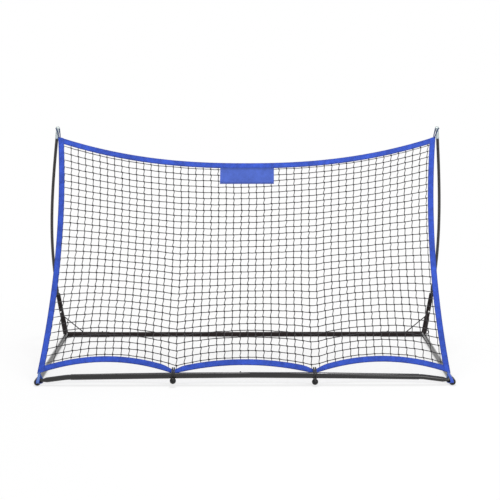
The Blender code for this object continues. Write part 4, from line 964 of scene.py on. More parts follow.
class REBOUND_OT_stage(bpy.types.Operator):
    """Makes the floor, the sky, the lamps and the camera"""

    bl_idname = "rebound.stage"
    bl_label = "Stage"

    def execute(self, context):
        settings = context.scene.rebound_stage
        self.make_sky(context.scene, settings)
        self.make_floor(settings)
        self.make_lamp("top_lamp", (0.0, 0.6, 8.0), 4.4, settings.top_power)
        self.make_lamp("shadow_lamp", (0.3, 0.4, 8.0), 0.95, settings.shadow_power)
        self.make_lamp("front_lamp", (2.6, -4.8, 2.6), 3.0, settings.front_power)
        self.make_camera(context.scene)
        context.scene.view_settings.view_transform = "Standard"
        return {"FINISHED"}

    def make_sky(self, scene, settings):
        """White where it is seen, and softer as a light."""
        scene.world = bpy.data.worlds.new("studio")
        scene.world.use_nodes = True
        nodes = Nodes(scene.world.node_tree)
        background = nodes.tree.nodes["Background"]
        nodes.fill(background.inputs["Color"], WHITE)
        strength = settings.sky_strength + nodes.seen() * (1.0 - settings.sky_strength)
        nodes.fill(background.inputs["Strength"], strength)

    def make_floor(self, settings):
        """A pale floor that keeps the shadow, and is seen plain white farther away."""
        mesh = bmesh.new()
        bmesh.ops.create_grid(mesh, x_segments=2, y_segments=2, size=30.0)
        data = bpy.data.meshes.new("floor")
        mesh.to_mesh(data)
        mesh.free()
        finish = Finish("pale_floor", {"Specular IOR Level": 0.1, "Roughness": 0.8})
        finish.drive("Base Color", finish.tints(finish.noise(0.6), settings.floor_colour, 0.997, 1.003))
        reach = finish.add("ShaderNodeVectorMath", {0: finish.place()}, "Value", operation="LENGTH")
        fading = {"Value": reach, "From Min": settings.clear_start, "From Max": settings.clear_end,
                  "To Min": settings.clearness, "To Max": 1.0}
        fade = finish.add("ShaderNodeMapRange", fading, interpolation_type="SMOOTHSTEP")
        white = finish.add("ShaderNodeEmission", {"Color": WHITE, "Strength": 1.0})
        surface = Value(finish, finish.shader.outputs[0])
        mixed = finish.add("ShaderNodeMixShader", {0: fade * finish.seen(), 1: surface, 2: white})
        finish.fill(finish.tree.nodes["Material Output"].inputs["Surface"], mixed)
        placed("floor", painted(data, finish.material))

    def make_lamp(self, name, place, size, power):
        lamp = bpy.data.lights.new(name, "AREA")
        lamp.shape = "DISK"
        lamp.size = size
        lamp.energy = power
        obj = placed(name, lamp)
        obj.location = place
        obj.rotation_euler = (LAMP_TARGET - obj.location).to_track_quat("-Z", "Y").to_euler()
        obj.visible_camera = False

    def make_camera(self, scene):
        camera = bpy.data.cameras.new("photo_camera")
        camera.sensor_width = SENSOR_WIDTH
        camera.lens = CAMERA_FOCAL_PIXELS / FRAME_PIXELS * SENSOR_WIDTH
        camera.clip_end = 100.0
        scene.camera = placed("photo_camera", camera)
        scene.camera.location = (0.0, -CENTRE_Y - CAMERA_BACK, CAMERA_HEIGHT)
        scene.camera.rotation_euler = (math.pi / 2 - CAMERA_PITCH, 0.0, -CAMERA_TURN)


class REBOUND_OT_net(bpy.types.Operator):
    """Ties the twine net inside the binding"""

    bl_idname = "rebound.net"
    bl_label = "Net"

    def execute(self, context):
        settings = self.settings = context.scene.rebound_net
        self.dice = np.random.default_rng(NET_SEED)
        values = {
            "Twine radius": settings.twine_radius,
            "Knot size": tuple(settings.knot_radius * share for share in KNOT_SHAPE),
            "Knot tilt": (math.pi / 2 - NET_TILT, 0.0, 0.0),
            "Material": net_twine("net_twine", settings.colour),
        }
        mesh = grown("knotted_net", self.lay_lines(), "knotted_twine", twine_tree, values)
        piece("knotted_net", mesh, None, "net_cord", "net")
        return {"FINISHED"}

    def lay_lines(self):
        """The lines of twine: columns that step sideways at each knot, and rows through the knots."""
        half, rows = self.settings.columns / 2, self.settings.rows
        first, last = math.ceil(-half - COLUMN_PHASE), math.floor(half - COLUMN_PHASE)
        shares = [(k + COLUMN_PHASE) / half for k in range(first, last + 1)]
        heights = [(k + ROW_PHASE) / rows for k in range(math.floor(rows - ROW_PHASE) + 1)]
        grid = []
        for share in shares:
            strays = [self.dice.normal(0.0, self.settings.looseness * 0.5, 3) for _ in heights]
            grid.append([self.at(share, height, stray) for height, stray in zip(heights, strays)])
        lines = [self.column_line(share, column) for share, column in zip(shares, grid)]
        return lines + [self.row_line(height, row) for height, row in zip(heights, zip(*grid))]

    def at(self, share, height, stray=(0.0, 0.0, 0.0)):
        """A place of the net in space, and how far it lies within the opening of the binding."""
        across, along = net_place(share, height)
        along += (self.settings.rise * share + row_rise(across)) * math.sin(math.pi * height)
        along += row_tilt(share, height) + stray[1]
        across += column_spread(share, height) + stray[0]
        hidden = behind_tag(across, along)
        wave = NET_WAVE * math.sin(across * 5.0 + 1.0) * math.sin(math.pi * height)
        proud = (wave + stray[2]) * (1.0 - hidden) - TAG_CLEARANCE * hidden
        return net_point(across, along, proud), inside_binding(across, along)

    def spot(self, place, within, tied=False):
        """A point of a line of twine, which is drawn thin where the binding grips it."""
        share = min(max(within / NET_TAPER, 0.0), 1.0)
        return place, tied, GRIPPED_SHARE + (1.0 - GRIPPED_SHARE) * share

    def column_line(self, share, column):
        line = [self.spot(*self.at(share, 0.0))]
        for j, (place, within) in enumerate(column):
            line.append(self.spot(place, within, within > self.settings.knot_radius))
            if j + 1 < len(column):
                above, within_above = column[j + 1]
                step = RIGHT * self.settings.jog * min(max(self.dice.normal(0.9, 0.3), 0.0), 1.5)
                for way, sign in ((0.17, -1), (0.83, 1)):
                    between = place.lerp(above, way) + step * sign
                    line.append(self.spot(between, within + (within_above - within) * way))
        return line + [self.spot(*self.at(share, 1.0))]

    def row_line(self, height, knots):
        line = [self.spot(*self.at(-1.0, height))]
        for (here, within), (there, within_there) in zip(knots, knots[1:]):
            sag = UP * abs(self.dice.normal(0.0, self.settings.looseness * 0.6))
            between = self.spot((here + there) / 2 - sag, (within + within_there) / 2)
            line += [self.spot(here, within), between]
        return line + [self.spot(*knots[-1]), self.spot(*self.at(1.0, height))]


def binding_section():
    """The folded binding in section: (inward from its outer edge, proud), round a wall of cloth."""
    half = CLOTH_THICKNESS / 2
    middle = BORDER_SKIN - half
    line = [(BORDER_WIDTH * share, middle) for share in (1.0, 0.83, 0.62, 0.40, 0.22)]
    line.append((BORDER_WIDTH * 0.09, middle * 0.96))
    for angle in map(math.radians, FOLD_TURNS):
        line.append((FOLD_RADIUS - FOLD_RADIUS * math.cos(angle), middle * math.sin(angle)))
    line += [(x, -y) for x, y in reversed(line[:6])]
    line = [Vector(spot) for spot in line]
    normals = [Vector((way.y, -way.x)) * half for way in directions(line)]
    outer = [spot + normal for spot, normal in zip(line, normals)]
    return outer + [spot - normal for spot, normal in zip(reversed(line), reversed(normals))]


def waves(metres, inward, seed):
    """Small waves of sewn cloth, a number near -1 to 1, larger towards the inner edge."""
    total = 0.0
    for n, (length, size) in enumerate(WAVES):
        total += size * math.sin(2 * math.pi * metres / length + seed * 1.7 + n * 2.3 + 9.0 * inward)
    return total * (0.35 + 0.65 * min(inward / BORDER_WIDTH, 1.0))


class REBOUND_OT_binding(bpy.types.Operator):
    """Folds the blue binding over the four edges of the net"""

    bl_idname = "rebound.binding"
    bl_label = "Binding"

    def execute(self, context):
        settings = context.scene.rebound_cloth
        # The binding's cloth carries painted shade at its fold and near its inner edges.
        self.cloth = woven_cloth("binding_cloth", settings.binding_colour, 0.0011, 1.3, BORDER_WIDTH)
        self.pucker = settings.pucker
        self.section = binding_section()
        self.cross_strip("top", top_line, 1)
        self.cross_strip("bottom", gathered_line, 2)
        for name, side in SIDES.items():
            self.side_strip(name, side, 3 + side)
        self.sew(settings)
        return {"FINISHED"}

    def ring(self, spot, metres, seed, gathered=False):
        """A ring of cloth round the section, whose places spot gives, with the cloth's waves."""
        ring = []
        for inward, proud in self.section:
            across, along = spot(inward)
            lift = waves(metres, inward, seed) * self.pucker
            if gathered:
                lift *= 1.0 + PINCH_CREASING * near_toggle(across)
            ring.append(net_point(across, along, proud + math.copysign(abs(lift), proud)))
        return ring

    def strip(self, name, path, rings):
        sections = [list(zip(ring, distances(ring))) for ring in rings]
        mesh = sweep(f"{name}_binding", path, sections, 50.0)
        obj = piece(f"{name}_binding", mesh, self.cloth, "blue_nylon", f"border_{name}")
        flat = (distances(path)[-1], 2 * BORDER_WIDTH)

    def cross_strip(self, name, line, seed):
        """The top or the bottom strip, whose ends lie along the side strips."""
        shares = [-1 + 2 * k / CROSS_RINGS for k in range(CROSS_RINGS + 1)]
        path = [net_point(*cross_spot(line, share, BORDER_WIDTH / 2, GAP)) for share in shares]
        rings = []
        for share, metres in zip(shares, distances(path)):
            rings.append(self.ring(lambda inward: cross_spot(line, share, inward, GAP), metres, seed,
                                   line is gathered_line))
        self.strip(name, path, rings)

    def side_strip(self, name, side, seed):
        """A side strip, between the outlines of the bottom and the top edge."""
        path, rings = [], []
        for k in range(SIDE_RINGS + 1):
            metres = distances(path)[-1]
            rings.append(self.ring(lambda inward: side_spot(side, k / SIDE_RINGS, inward), metres, seed))
            path.append(sum(rings[-1], Vector()) / len(rings[-1]))
        self.strip(name, path, rings)

    def sew(self, settings):
        """Two rows of stitches on each face of the binding."""
        skin = BORDER_SKIN + self.pucker * 0.55
        lines = []
        for inward in SEAM_INSETS:
            for proud in (skin, -skin):
                for line in (top_line, gathered_line):
                    spots = [cross_spot(line, -1 + 2 * k / 200, inward) for k in range(201)]
                    lines.append([net_point(*spot, proud) for spot in spots])
                for side in SIDES.values():
                    spots = [side_spot(side, 0.004 + 0.992 * k / 140, inward) for k in range(141)]
                    lines.append([net_point(*spot, proud) for spot in spots])
        stitches("binding_stitches", lines, settings.stitch_length, (0.0020, 0.00045, 0.0004),
                 tinted(settings.binding_colour, 1.25), "blue_nylon")


class REBOUND_OT_tag(bpy.types.Operator):
    """Hangs the bare cloth tag below the middle of the top binding"""

    bl_idname = "rebound.tag"
    bl_label = "Tag"

    def execute(self, context):
        settings = context.scene.rebound_cloth
        # The tag's cloth carries painted shade along its top and bottom edges.
        cloth = woven_cloth("tag_cloth", settings.tag_colour, 0.0009, 0.6, TAG_HEIGHT)
        mesh = bmesh.new()
        uv = mesh.loops.layers.uv.new("strip")
        back = self.grid(mesh, TAG_BACK, 0.0)
        front = self.grid(mesh, TAG_FRONT - TAG_HEM, TAG_HEM)
        for grid in (back, front):
            for i in range(TAG_COLUMNS):
                for j in range(TAG_ROWS):
                    corners = [(i, j), (i + 1, j), (i + 1, j + 1), (i, j + 1)]
                    face = mesh.faces.new([grid[a][b] for a, b in corners])
                    for loop, (a, b) in zip(face.loops, corners):
                        loop[uv].uv = (TAG_WIDTH * a / TAG_COLUMNS, TAG_HEIGHT * b / TAG_ROWS)
        rim = [(i, 0) for i in range(TAG_COLUMNS)] + [(TAG_COLUMNS, j) for j in range(TAG_ROWS)]
        rim += [(i, TAG_ROWS) for i in range(TAG_COLUMNS, 0, -1)] + [(0, j) for j in range(TAG_ROWS, 0, -1)]
        for (a, b), (c, d) in zip(rim, rim[1:] + rim[:1]):
            mesh.faces.new((back[a][b], back[c][d], front[c][d], front[a][b]))
        obj = piece("bare_tag", to_mesh("bare_tag", mesh, 50.0), cloth, "tag_vinyl", "tag")
        self.sew(settings)
        return {"FINISHED"}

    def grid(self, mesh, level, hem):
        """The corners of one face of the tag, with small ripples and with a hem at its free edges."""
        grid = []
        for i in range(TAG_COLUMNS + 1):
            across = TAG_X + TAG_WIDTH * (i / TAG_COLUMNS - 0.5)
            top = top_line(across, BORDER_WIDTH) - GAP
            edge = min(i, TAG_COLUMNS - i)
            swell = TAG_RIPPLE * math.sin(across * 38 + 0.8) * min(edge / TAG_COLUMNS * 9, 1.0)
            column = []
            for j in range(TAG_ROWS + 1):
                along = tag_bottom() + (top - tag_bottom()) * j / TAG_ROWS
                proud = level + swell * math.sin(math.pi * j / TAG_ROWS)
                proud += hem if min(edge, j) < TAG_HEM_CELLS else 0.0
                column.append(mesh.verts.new(net_point(across, along, proud)))
            grid.append(column)
        return grid

    def sew(self, settings):
        bottom = tag_bottom() + TAG_SEAM_INSET
        half = TAG_WIDTH / 2 - TAG_SEAM_INSET
        proud = TAG_FRONT + 0.0001
        lines = [[net_point(TAG_X + half * (k / 10 - 1), bottom, proud) for k in range(21)]]
        for side in SIDES.values():
            x = TAG_X + side * half
            top = top_line(x, BORDER_WIDTH) - 0.001
            lines.append([net_point(x, along, proud) for along in spread(bottom, top, 12)])
        stitches("tag_stitches", lines, 0.0042, (0.0017, 0.0004, 0.00035), tinted(settings.tag_colour, 1.35),
                 "tag_vinyl")


class REBOUND_OT_straps(bpy.types.Operator):
    """Loops the webbing straps and the cord loops that hold the corners of the net"""

    bl_idname = "rebound.straps"
    bl_label = "Straps and loops"

    def execute(self, context):
        settings = context.scene.rebound_cloth
        band = webbing("corner_webbing", settings.strap_colour_and_highlight, settings.binding_colour, STRAP_WIDTH, 0.0022)
        pale = tinted(settings.cord_colour, 2.4)
        cord = braided_cord("loop_cord", settings.cord_colour, pale, TOP_LOOP_RADIUS, 0.006)
        for name, side in SIDES.items():
            self.strap(name, side, band)
            self.top_loop(name, side, cord)
        return {"FINISHED"}

    def hub(self, side, normal):
        """Where a strap's middle plane cuts the neck of the front bar's end tube."""
        x = side * (FRONT_BAR_END_X + BEND_START)
        slope = Vector((1.0, 0.0, -2 * FRONT_BAR_RISE * x / FRONT_BAR_END_X**2)).normalized() * side
        neck = Vector((side * HALF_SPACING, FRONT_BAR_Y, NECK_HEIGHT))
        axis = (front_bar_point(x) + slope * BEND_LENGTH / 2 - neck).normalized()
        centre = Vector((side * HALF_SPACING, 0.0, CONNECTOR_RADIUS))
        middle = centre + normal * (CONNECTOR_SPOT_DISTANCE + GAP + STRAP_WIDTH / 2)
        return neck + axis * ((middle - neck).dot(normal) / axis.dot(normal))

    def strap(self, name, side, band):
        """From the binding over the connector's nose, under and round the neck, and back to the binding."""
        angle = CONNECTOR_SPOT_ANGLE
        normal = Vector((-side * math.cos(angle), -math.sin(angle), 0.0))
        level = Vector((-side * math.sin(angle), math.cos(angle), 0.0))
        hub = self.hub(side, normal)
        radius = NECK_RADIUS / math.cos(angle) + STRAP_WIDTH / 2 * math.tan(angle)
        radius += STRAP_SLACK + STRAP_THICKNESS / 2
        inset = BORDER_BOTTOM_HALF - STRAP_TOP_INSET
        lowest = bottom_outer(inset + STRAP_WIDTH / 2)
        top = net_point(side * inset, lowest - 2 * GAP - STRAP_THICKNESS / 2)
        flat = (top - hub) - normal * (top - hub).dot(normal)
        aim = math.atan2(flat.dot(UP), flat.dot(level))
        opening = math.acos(radius / flat.length)
        loop = arc(hub, level, UP, radius, spread(aim + opening, aim + 2 * math.pi - opening, 40))
        across = normal.cross(flat).normalized() * (STRAP_THICKNESS / 2 + GAP)
        if (loop[0] - hub).dot(across) < 0:
            across = -across
        proud = TAG_FRONT + STRAP_THICKNESS / 2
        sewn = [net_point(side * inset, lowest + STRAP_SEAM, way * proud) for way in (1, -1)]
        nose, ways = self.over_the_nose(side)
        rest = [point for point in loop if point.y > hub.y]
        handles = (nose[-1] - UP * STRAP_BEND, rest[0] - level * STRAP_BEND)
        under = interpolate_bezier(nose[-1], *handles, rest[0], 12)
        front = [sewn[0].lerp(top + across, k / 2) for k in range(2)]
        front += [(top + across).lerp(nose[0], k / 6) for k in range(6)]
        back = [rest[-1].lerp(top - across, k / 6) for k in range(1, 7)]
        back += [(top - across).lerp(sewn[1], k / 2) for k in range(1, 3)]
        path = front + nose + under[1:-1] + rest + back
        wide_ways = [normal.lerp(ways[0], k / 8) for k in range(8)] + ways
        wide_ways += [ways[-1].lerp(normal, k / 11) for k in range(1, 11)] + [normal] * (len(rest) + 8)
        widths = spread(STRAP_WIDTH, STRAP_NOSE_WIDTH, 20)
        widths += spread(widths[-1], STRAP_WIDTH, 11)[1:-1]
        widths += [STRAP_WIDTH] * (len(path) - len(widths))
        mesh = flat_band(f"strap_{name}", path, wide_ways, widths, STRAP_THICKNESS)
        piece(f"corner_webbing_{name}", mesh, band, "blue_nylon", f"corner_strap_{name}")

    def over_the_nose(self, side):
        """The points of the strap on the round nose of its connector, and its width's direction there."""
        centre = Vector((side * HALF_SPACING, 0.0, CONNECTOR_RADIUS))
        points, ways = [], []
        for down, aside in zip(spread(*STRAP_NOSE_TURNS, 12), spread(*STRAP_NOSE_SIDES, 12)):
            down, aside = math.radians(down), math.radians(aside)
            ahead = Vector((0.0, -math.cos(down), math.sin(down)))
            inward = RIGHT * -side
            points += arc(centre, ahead, inward, CONNECTOR_RADIUS + GAP + STRAP_THICKNESS / 2, [aside])
            ways.append(inward * math.cos(aside) - ahead * math.sin(aside))
        return points, ways

    def top_loop(self, name, side, cord):
        """From the binding's corner round the waist of the pole's cap and back."""
        tip = pole_point(side, POLE_TIP_HEIGHT)
        way = (tip - pole_point(side, POLE_TIP_HEIGHT - 0.001)).normalized()
        radius = TOP_LOOP_RADIUS
        centre = tip - way * (CAP_HEAD_HEIGHT + GAP + radius)
        inset = BORDER_TOP_HALF - TOP_LOOP_INSET
        foot = net_point(side * inset, top_outer(inset) - TOP_LOOP_SEAM)
        flat = (foot - centre) - way * (foot - centre).dot(way)
        towards = flat.normalized()
        beside = way.cross(towards)
        reach = CAP_WAIST_RADIUS + GAP + radius
        distance = math.hypot(flat.length, TOP_LOOP_SPREAD)
        past = math.atan2(flat.length, TOP_LOOP_SPREAD) - math.acos(reach / distance)
        loop = arc(centre, beside, -towards, reach, spread(-past, math.pi + past, 28))
        aside = beside * TOP_LOOP_SPREAD
        ways = (0.0, 0.12, 0.3, 0.5, 0.8)
        path = [(foot + aside).lerp(loop[0], share) for share in ways] + loop
        path += [(foot - aside).lerp(loop[-1], share) for share in reversed(ways)]
        thin = [radius * 0.55, radius * 0.75]
        radii = thin + [radius] * (len(path) - 4) + thin[::-1]
        mesh = round_cord(f"loop_{name}", path, radius, -BACK, 14, radii)
        piece(f"pole_loop_{name}", mesh, cord, "blue_cord", f"top_loop_{name}")


class REBOUND_OT_toggles(bpy.types.Operator):
    """Ties the binding to the front bar with elastic loops and balls"""

    bl_idname = "rebound.toggles"
    bl_label = "Ball toggles"

    def execute(self, context):
        dark = context.scene.rebound_frame.plastic_colour
        colour = context.scene.rebound_cloth.elastic_colour
        elastic = braided_cord("elastic_braid", colour, (0.05, 0.05, 0.055), BUNGEE_RADIUS, 0.005)
        plastic = moulded_plastic("ball_plastic", dark, 1300.0)
        for name, side in SIDES.items():
            drop = BALL_DROP[name]
            hub = front_bar_point(side * TOGGLE_X + NET_FOOT_SHIFT)
            way = Vector((0.0, -math.cos(drop), -math.sin(drop)))
            self.loop(name, side, hub, way, elastic)
            self.ball(name, hub, way, plastic)
        return {"FINISHED"}

    def strand(self, side, hub, way):
        """One strand of a toggle: out of the ball, over the front bar, round the binding and back under."""
        upward = Vector((0.0, way.z, -way.y))
        wrap = (FRONT_BAR_RADIUS + GAP + BUNGEE_RADIUS) / math.cos(BUNGEE_ARC_STEP / 2)
        entry = math.sqrt((BALL_MOUTH_RADIUS - BUNGEE_RADIUS - GAP) ** 2 - BUNGEE_SPREAD**2)
        door = BALL_DISTANCE - math.sqrt(BALL_RADIUS**2 - BALL_MOUTH_RADIUS**2) - BUNGEE_RADIUS
        inside = BALL_DISTANCE - BUNGEE_RADIUS
        off = BORDER_SKIN + GAP + BUNGEE_RADIUS
        half = BUNGEE_SPREAD + BUNGEE_RADIUS
        high = max(bottom_line(TOGGLE_X + shift, BORDER_WIDTH) for shift in (-half, half)) + GAP
        x = side * TOGGLE_X
        over_border = [net_point(x, high + off * math.sin(turn), off * math.cos(turn))
                       for turn in spread(0.0, math.pi, 5)]
        over_border.append(net_point(x, bottom_line(TOGGLE_X, 0.0) + BUNGEE_RADIUS, -off))

        def tangent(point, sense):
            reach = point - hub
            return math.atan2(reach.z, reach.y) + sense * math.acos(wrap / math.hypot(reach.y, reach.z))

        def round_bar(first, last):
            count = max(round(abs(last - first) / BUNGEE_ARC_STEP), 1)
            return arc(hub, BACK, UP, wrap, spread(first, last, count))

        ball_turn = math.atan2(way.z, way.y) % (2 * math.pi)
        lift_off = math.asin(min(entry / wrap * BUNGEE_FLARE, 1.0))
        front_arc = round_bar(ball_turn - lift_off, tangent(over_border[0], 1))
        back_arc = round_bar(tangent(over_border[-1], -1), ball_turn - 2 * math.pi + lift_off)
        start = [hub + way * reach + upward * entry for reach in (inside, door)]
        finish = [hub + way * reach - upward * entry for reach in (door, inside)]
        return start + front_arc + over_border + back_arc + finish

    def loop(self, name, side, hub, way, elastic):
        strand = self.strand(side, hub, way)
        aside = RIGHT * BUNGEE_SPREAD
        points = [point + aside for point in strand] + [strand[-1] + way * BUNGEE_RADIUS]
        points += [point - aside for point in reversed(strand)]
        mesh = round_cord(f"elastic_{name}", rounded_route(points, 4), BUNGEE_RADIUS, RIGHT, 12)
        start = base_to_world(hub) - BACK * FRONT_BAR_RADIUS * 0.9
        end = base_to_world(hub) + BACK * (BALL_DISTANCE * way.y - BALL_MOUTH_RADIUS * way.z * 0.2)
        stretched_piece(f"elastic_loop_{name}", mesh, elastic, f"bungee_loop_{name}")

    def ball(self, name, hub, way, plastic):
        """The ball: a sphere with a fine moulding seam, and a bore with a small lip."""
        steps = 26
        mouth_turn = math.asin(BALL_MOUTH_RADIUS / BALL_RADIUS)
        profile = []
        for turn in spread(0.0, math.pi - mouth_turn * 0.92, steps)[1:]:
            radius = BALL_RADIUS + BALL_SEAM * math.exp(-(((turn - math.pi / 2) / 0.05) ** 2))
            profile.append((radius * math.cos(turn), radius * math.sin(turn)))
        profile += [(profile[-1][0] + 0.0006, BALL_MOUTH_RADIUS), (BALL_BORE_PAST_CENTRE, BALL_MOUTH_RADIUS)]
        mesh = solid_of_turning(f"toggle_ball_{name}", profile, hub + way * BALL_DISTANCE, way, 40)
        node = f"bungee_ball_{name}"
        piece(f"toggle_ball_{name}", mesh, plastic, "black_plastic", node, body=node)


class REBOUND_OT_tubes(bpy.types.Operator):
    """Finishes the steel tubes of the base and the uprights"""

    bl_idname = "rebound.tubes"
    bl_label = "Steel tubes"

    def execute(self, context):
        settings = context.scene.rebound_frame
        gloss = powder_coat("gloss_powder_coat", settings.steel_colour, 0.17, 0.8)
        satin = powder_coat("satin_powder_coat", settings.upper_colour, 0.45, 0.12)
        zinc = bright_zinc("ferrule_zinc", settings.zinc_colour)
        kinds = {"front_bar": gloss, "front_end_tube": gloss, "side_rail": gloss,
                 "rear_bar": satin, "rear_corner": satin, "upright_tube": satin, "pole_ferrule": zinc}
        for kind, coat in kinds.items():
            slot = "zinc_steel" if coat is zinc else "black_steel"
            for side in SIDES:
                node = f"{kind}_{side}"
                piece(f"{node}_steel", merged_copy(node), coat, slot, node)
        return {"FINISHED"}


class REBOUND_OT_poles(bpy.types.Operator):
    """Makes the bent poles, their bushings and their clear caps"""

    bl_idname = "rebound.poles"
    bl_label = "Poles and caps"

    def execute(self, context):
        settings = context.scene.rebound_frame
        rod = fibre_rod("fibreglass_rod", settings.pole_colour)
        vinyl = clear_vinyl("clear_vinyl", settings.cap_colour)
        plastic = moulded_plastic("bushing_plastic", settings.plastic_colour, 1100.0)
        for name, side in SIDES.items():
            self.pole(name, side, rod)
            self.cap(name, side, vinyl)
            node = f"pole_bushing_{name}"
            piece(f"bushing_{name}", merged_copy(node), plastic, "black_plastic", node)
        return {"FINISHED"}

    def pole(self, name, side, rod):
        """The rod, which is drawn down where its bushing and its cap hold it."""
        heights = [POLE_FOOT, UPRIGHT_TOP, POLE_SEAT] + spread(POLE_SEAT + GAP, CAP_FOOT - GAP, POLE_STEPS)
        heights += [CAP_FOOT + 0.001, POLE_TOP]
        path = [pole_point(side, height) for height in heights]
        radii = [POLE_FIT_RADIUS] * 3 + [POLE_OPEN_RADIUS] * (POLE_STEPS + 1) + [POLE_FIT_RADIUS] * 2
        mesh = round_cord(f"rod_{name}", path, POLE_OPEN_RADIUS, -BACK, 24, radii)
        piece(f"bent_pole_{name}", mesh, rod, "fibreglass", f"pole_{name}")

    def cap(self, name, side, vinyl):
        """The cap: a sleeve with a rolled foot, a waist for the loop, and a domed head."""
        foot = pole_point(side, CAP_FOOT)
        way = pole_point(side, POLE_TIP_HEIGHT) - foot
        length = way.length
        neck = length - CAP_HEAD_HEIGHT
        waist = neck - CAP_WAIST_LENGTH
        sleeve, thin, head = CAP_SLEEVE_RADIUS, CAP_WAIST_RADIUS, CAP_HEAD_RADIUS
        profile = [(0.0, sleeve - 0.0008), (0.0, sleeve + 0.0002), (0.0012, sleeve + 0.0006)]
        profile += [(reach, sleeve) for reach in spread(CAP_ROLL, waist - 0.0040, 5)]
        profile += [(waist - 0.0012, sleeve - 0.0007), (waist, thin + 0.0003), (waist + 0.0010, thin),
                    (neck - 0.0006, thin), (neck, thin + 0.0010), (neck + 0.0004, head - 0.0008)]
        for turn in spread(0.0, math.pi / 2, 8)[:-1]:
            rise = CAP_BRIM + (CAP_HEAD_HEIGHT - CAP_BRIM) * math.sin(turn)
            profile.append((neck + rise, head * math.cos(turn) ** 0.8))
        profile.append((length, 0.0012))
        mesh = solid_of_turning(f"cap_{name}", profile, foot, way, 32)
        piece(f"clear_cap_{name}", mesh, vinyl, "clear_plastic", f"pole_cap_{name}")


class REBOUND_OT_connectors(bpy.types.Operator):
    """Finishes the round moulded connectors at the front corners"""

    bl_idname = "rebound.connectors"
    bl_label = "Front connectors"

    def execute(self, context):
        plastic = moulded_plastic("connector_plastic", context.scene.rebound_frame.plastic_colour, 1200.0)
        for name in SIDES:
            node = f"corner_connector_{name}"
            piece(f"round_connector_{name}", merged_copy(node), plastic, "black_plastic", node)
        return {"FINISHED"}


class REBOUND_OT_buttons(bpy.types.Operator):
    """Makes the sprung snap buttons and the leaf springs behind them"""

    bl_idname = "rebound.buttons"
    bl_label = "Snap buttons"

    def execute(self, context):
        colour = context.scene.rebound_frame.zinc_colour
        zinc = bright_zinc("button_zinc", colour)
        dull = bright_zinc("worn_button_zinc", tinted(colour, 0.09))
        for joint in frame["joints"]:
            node, way = joint["child"], Vector(joint["axis"])
            if not node.endswith("_button"):
                continue
            upright = node.startswith("upright")
            if upright:
                self.rim(node, -way, zinc)
            piece(f"{node}_pin", merged_copy(node), zinc if upright else dull, "zinc_steel", node, body=node)
            leaf = merged_copy(f"{node}_spring")
            stretched_piece(f"{node}_leaf", leaf, zinc, f"{node}_spring")
        return {"FINISHED"}

    def rim(self, node, out, zinc):
        """The bare edge of the hole that the button stands in."""
        centre = upright_point(SIDES[node.split("_")[1]], BUTTON_HEIGHT) + out * UPRIGHT_RADIUS
        profile = [(-RIM_DEPTH, RIM_OUTER - 0.0002), (-0.0002, RIM_OUTER), (0.0004, RIM_OUTER - 0.0006),
                   (0.0005, RIM_INNER + 0.0004), (0.0, RIM_INNER), (-RIM_DEPTH, RIM_INNER)]
        mesh = solid_of_turning(f"{node}_rim", profile, centre, out, 32, closed=False)
        piece(f"{node}_rim", mesh, zinc, "zinc_steel")


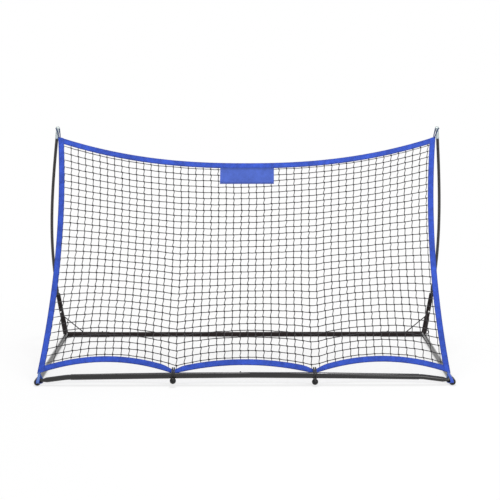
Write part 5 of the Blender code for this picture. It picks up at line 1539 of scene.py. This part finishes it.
class REBOUND_OT_cords(bpy.types.Operator):
    """Threads the shock cords that show at the rear corners"""

    bl_idname = "rebound.cords"
    bl_label = "Shock cords"

    def execute(self, context):
        colour = context.scene.rebound_cloth.elastic_colour
        elastic = braided_cord("shock_cord_braid", colour, (0.06, 0.06, 0.065), SHOCK_CORD_RADIUS, 0.005)
        for name, side in SIDES.items():
            self.taut_cord(name, side, elastic)
        self.corner_bow(elastic)
        return {"FINISHED"}

    def taut_cord(self, name, side, elastic):
        """The cord between the upright and the rear bar, with a knot at each end."""
        high = upright_point(side, SHOCK_CORD_HEIGHT) - RIGHT * side * UPRIGHT_RADIUS
        x = side * (HALF_SPACING - SHOCK_CORD_FOOT_FROM_CORNER)
        low = Vector((x, BASE_DEPTH, REAR_HEIGHT + SLEEVE_TOP))
        along = (low - high).normalized()
        path = [high - along * (KNOT_DEPTH + KNOT_RADIUS * reach) for reach, size in reversed(SHOCK_KNOT)]
        path += [low + along * (KNOT_DEPTH + KNOT_RADIUS * reach) for reach, size in SHOCK_KNOT]
        sizes = [SHOCK_CORD_RADIUS * size for reach, size in SHOCK_KNOT]
        mesh = round_cord(f"shock_{name}", path, SHOCK_CORD_RADIUS, -BACK, 14, sizes[::-1] + sizes)
        piece(f"elastic_tie_{name}", mesh, elastic, "elastic_cord", f"shock_cord_{name}")

    def corner_bow(self, elastic):
        """The short bow of cord beside the foot of the right upright."""
        high = upright_point(1, CORNER_CORD_TOP)
        low = Vector((HALF_SPACING + STUB_SETOUT, BASE_DEPTH, REAR_HEIGHT))
        path = [high + RIGHT * CORNER_CORD_ROOT]
        for turn in spread(math.pi / 2, -math.pi / 2, 24):
            out = RIGHT * (STUB_RADIUS + CORNER_CORD_BULGE * math.cos(turn))
            path.append((high + low) / 2 + out + UP * ((high - low).z / 2 * math.sin(turn)))
        path.append(low + RIGHT * CORNER_CORD_ROOT)
        mesh = round_cord("corner_bow", path, SHOCK_CORD_RADIUS, -BACK)
        piece("corner_bow", mesh, elastic, "elastic_cord", "corner_cord_right")


class REBOUND_PT_panel(bpy.types.Panel):
    """Lists the steps that dress the rebounder"""

    bl_idname = "REBOUND_PT_panel"
    bl_label = "Rebounder"
    bl_space_type = "VIEW_3D"
    bl_region_type = "UI"
    bl_category = "Rebounder"

    def draw(self, context):
        for operator in OPERATORS:
            self.layout.operator(operator.bl_idname)
        for group in SETTINGS:
            box = self.layout.box()
            box.label(text=group.removeprefix("rebound_").capitalize())
            settings = getattr(context.scene, group)
            for name in settings.bl_rna.properties.keys():
                if name not in ("rna_type", "name"):
                    box.prop(settings, name)


SETTINGS = {
    "rebound_net": ReboundNetSettings,
    "rebound_cloth": ReboundClothSettings,
    "rebound_frame": ReboundFrameSettings,
    "rebound_stage": ReboundStageSettings,
}
OPERATORS = (
    REBOUND_OT_stage,
    REBOUND_OT_net,
    REBOUND_OT_binding,
    REBOUND_OT_tag,
    REBOUND_OT_straps,
    REBOUND_OT_toggles,
    REBOUND_OT_tubes,
    REBOUND_OT_poles,
    REBOUND_OT_connectors,
    REBOUND_OT_buttons,
    REBOUND_OT_cords,
)
CLASSES = (*SETTINGS.values(), *OPERATORS, REBOUND_PT_panel)


def register():
    for kind in CLASSES:
        bpy.utils.register_class(kind)
    for name, group in SETTINGS.items():
        setattr(bpy.types.Scene, name, PointerProperty(type=group))


def unregister():
    for name in SETTINGS:
        delattr(bpy.types.Scene, name)
    for kind in reversed(CLASSES):
        bpy.utils.unregister_class(kind)


def main():
    """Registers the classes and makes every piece."""
    register()
    bpy.ops.rebound.stage()
    bpy.ops.rebound.net()
    bpy.ops.rebound.binding()
    bpy.ops.rebound.tag()
    bpy.ops.rebound.straps()
    bpy.ops.rebound.toggles()
    bpy.ops.rebound.tubes()
    bpy.ops.rebound.poles()
    bpy.ops.rebound.connectors()
    bpy.ops.rebound.buttons()
    bpy.ops.rebound.cords()


if __name__ == "__main__":
    main()
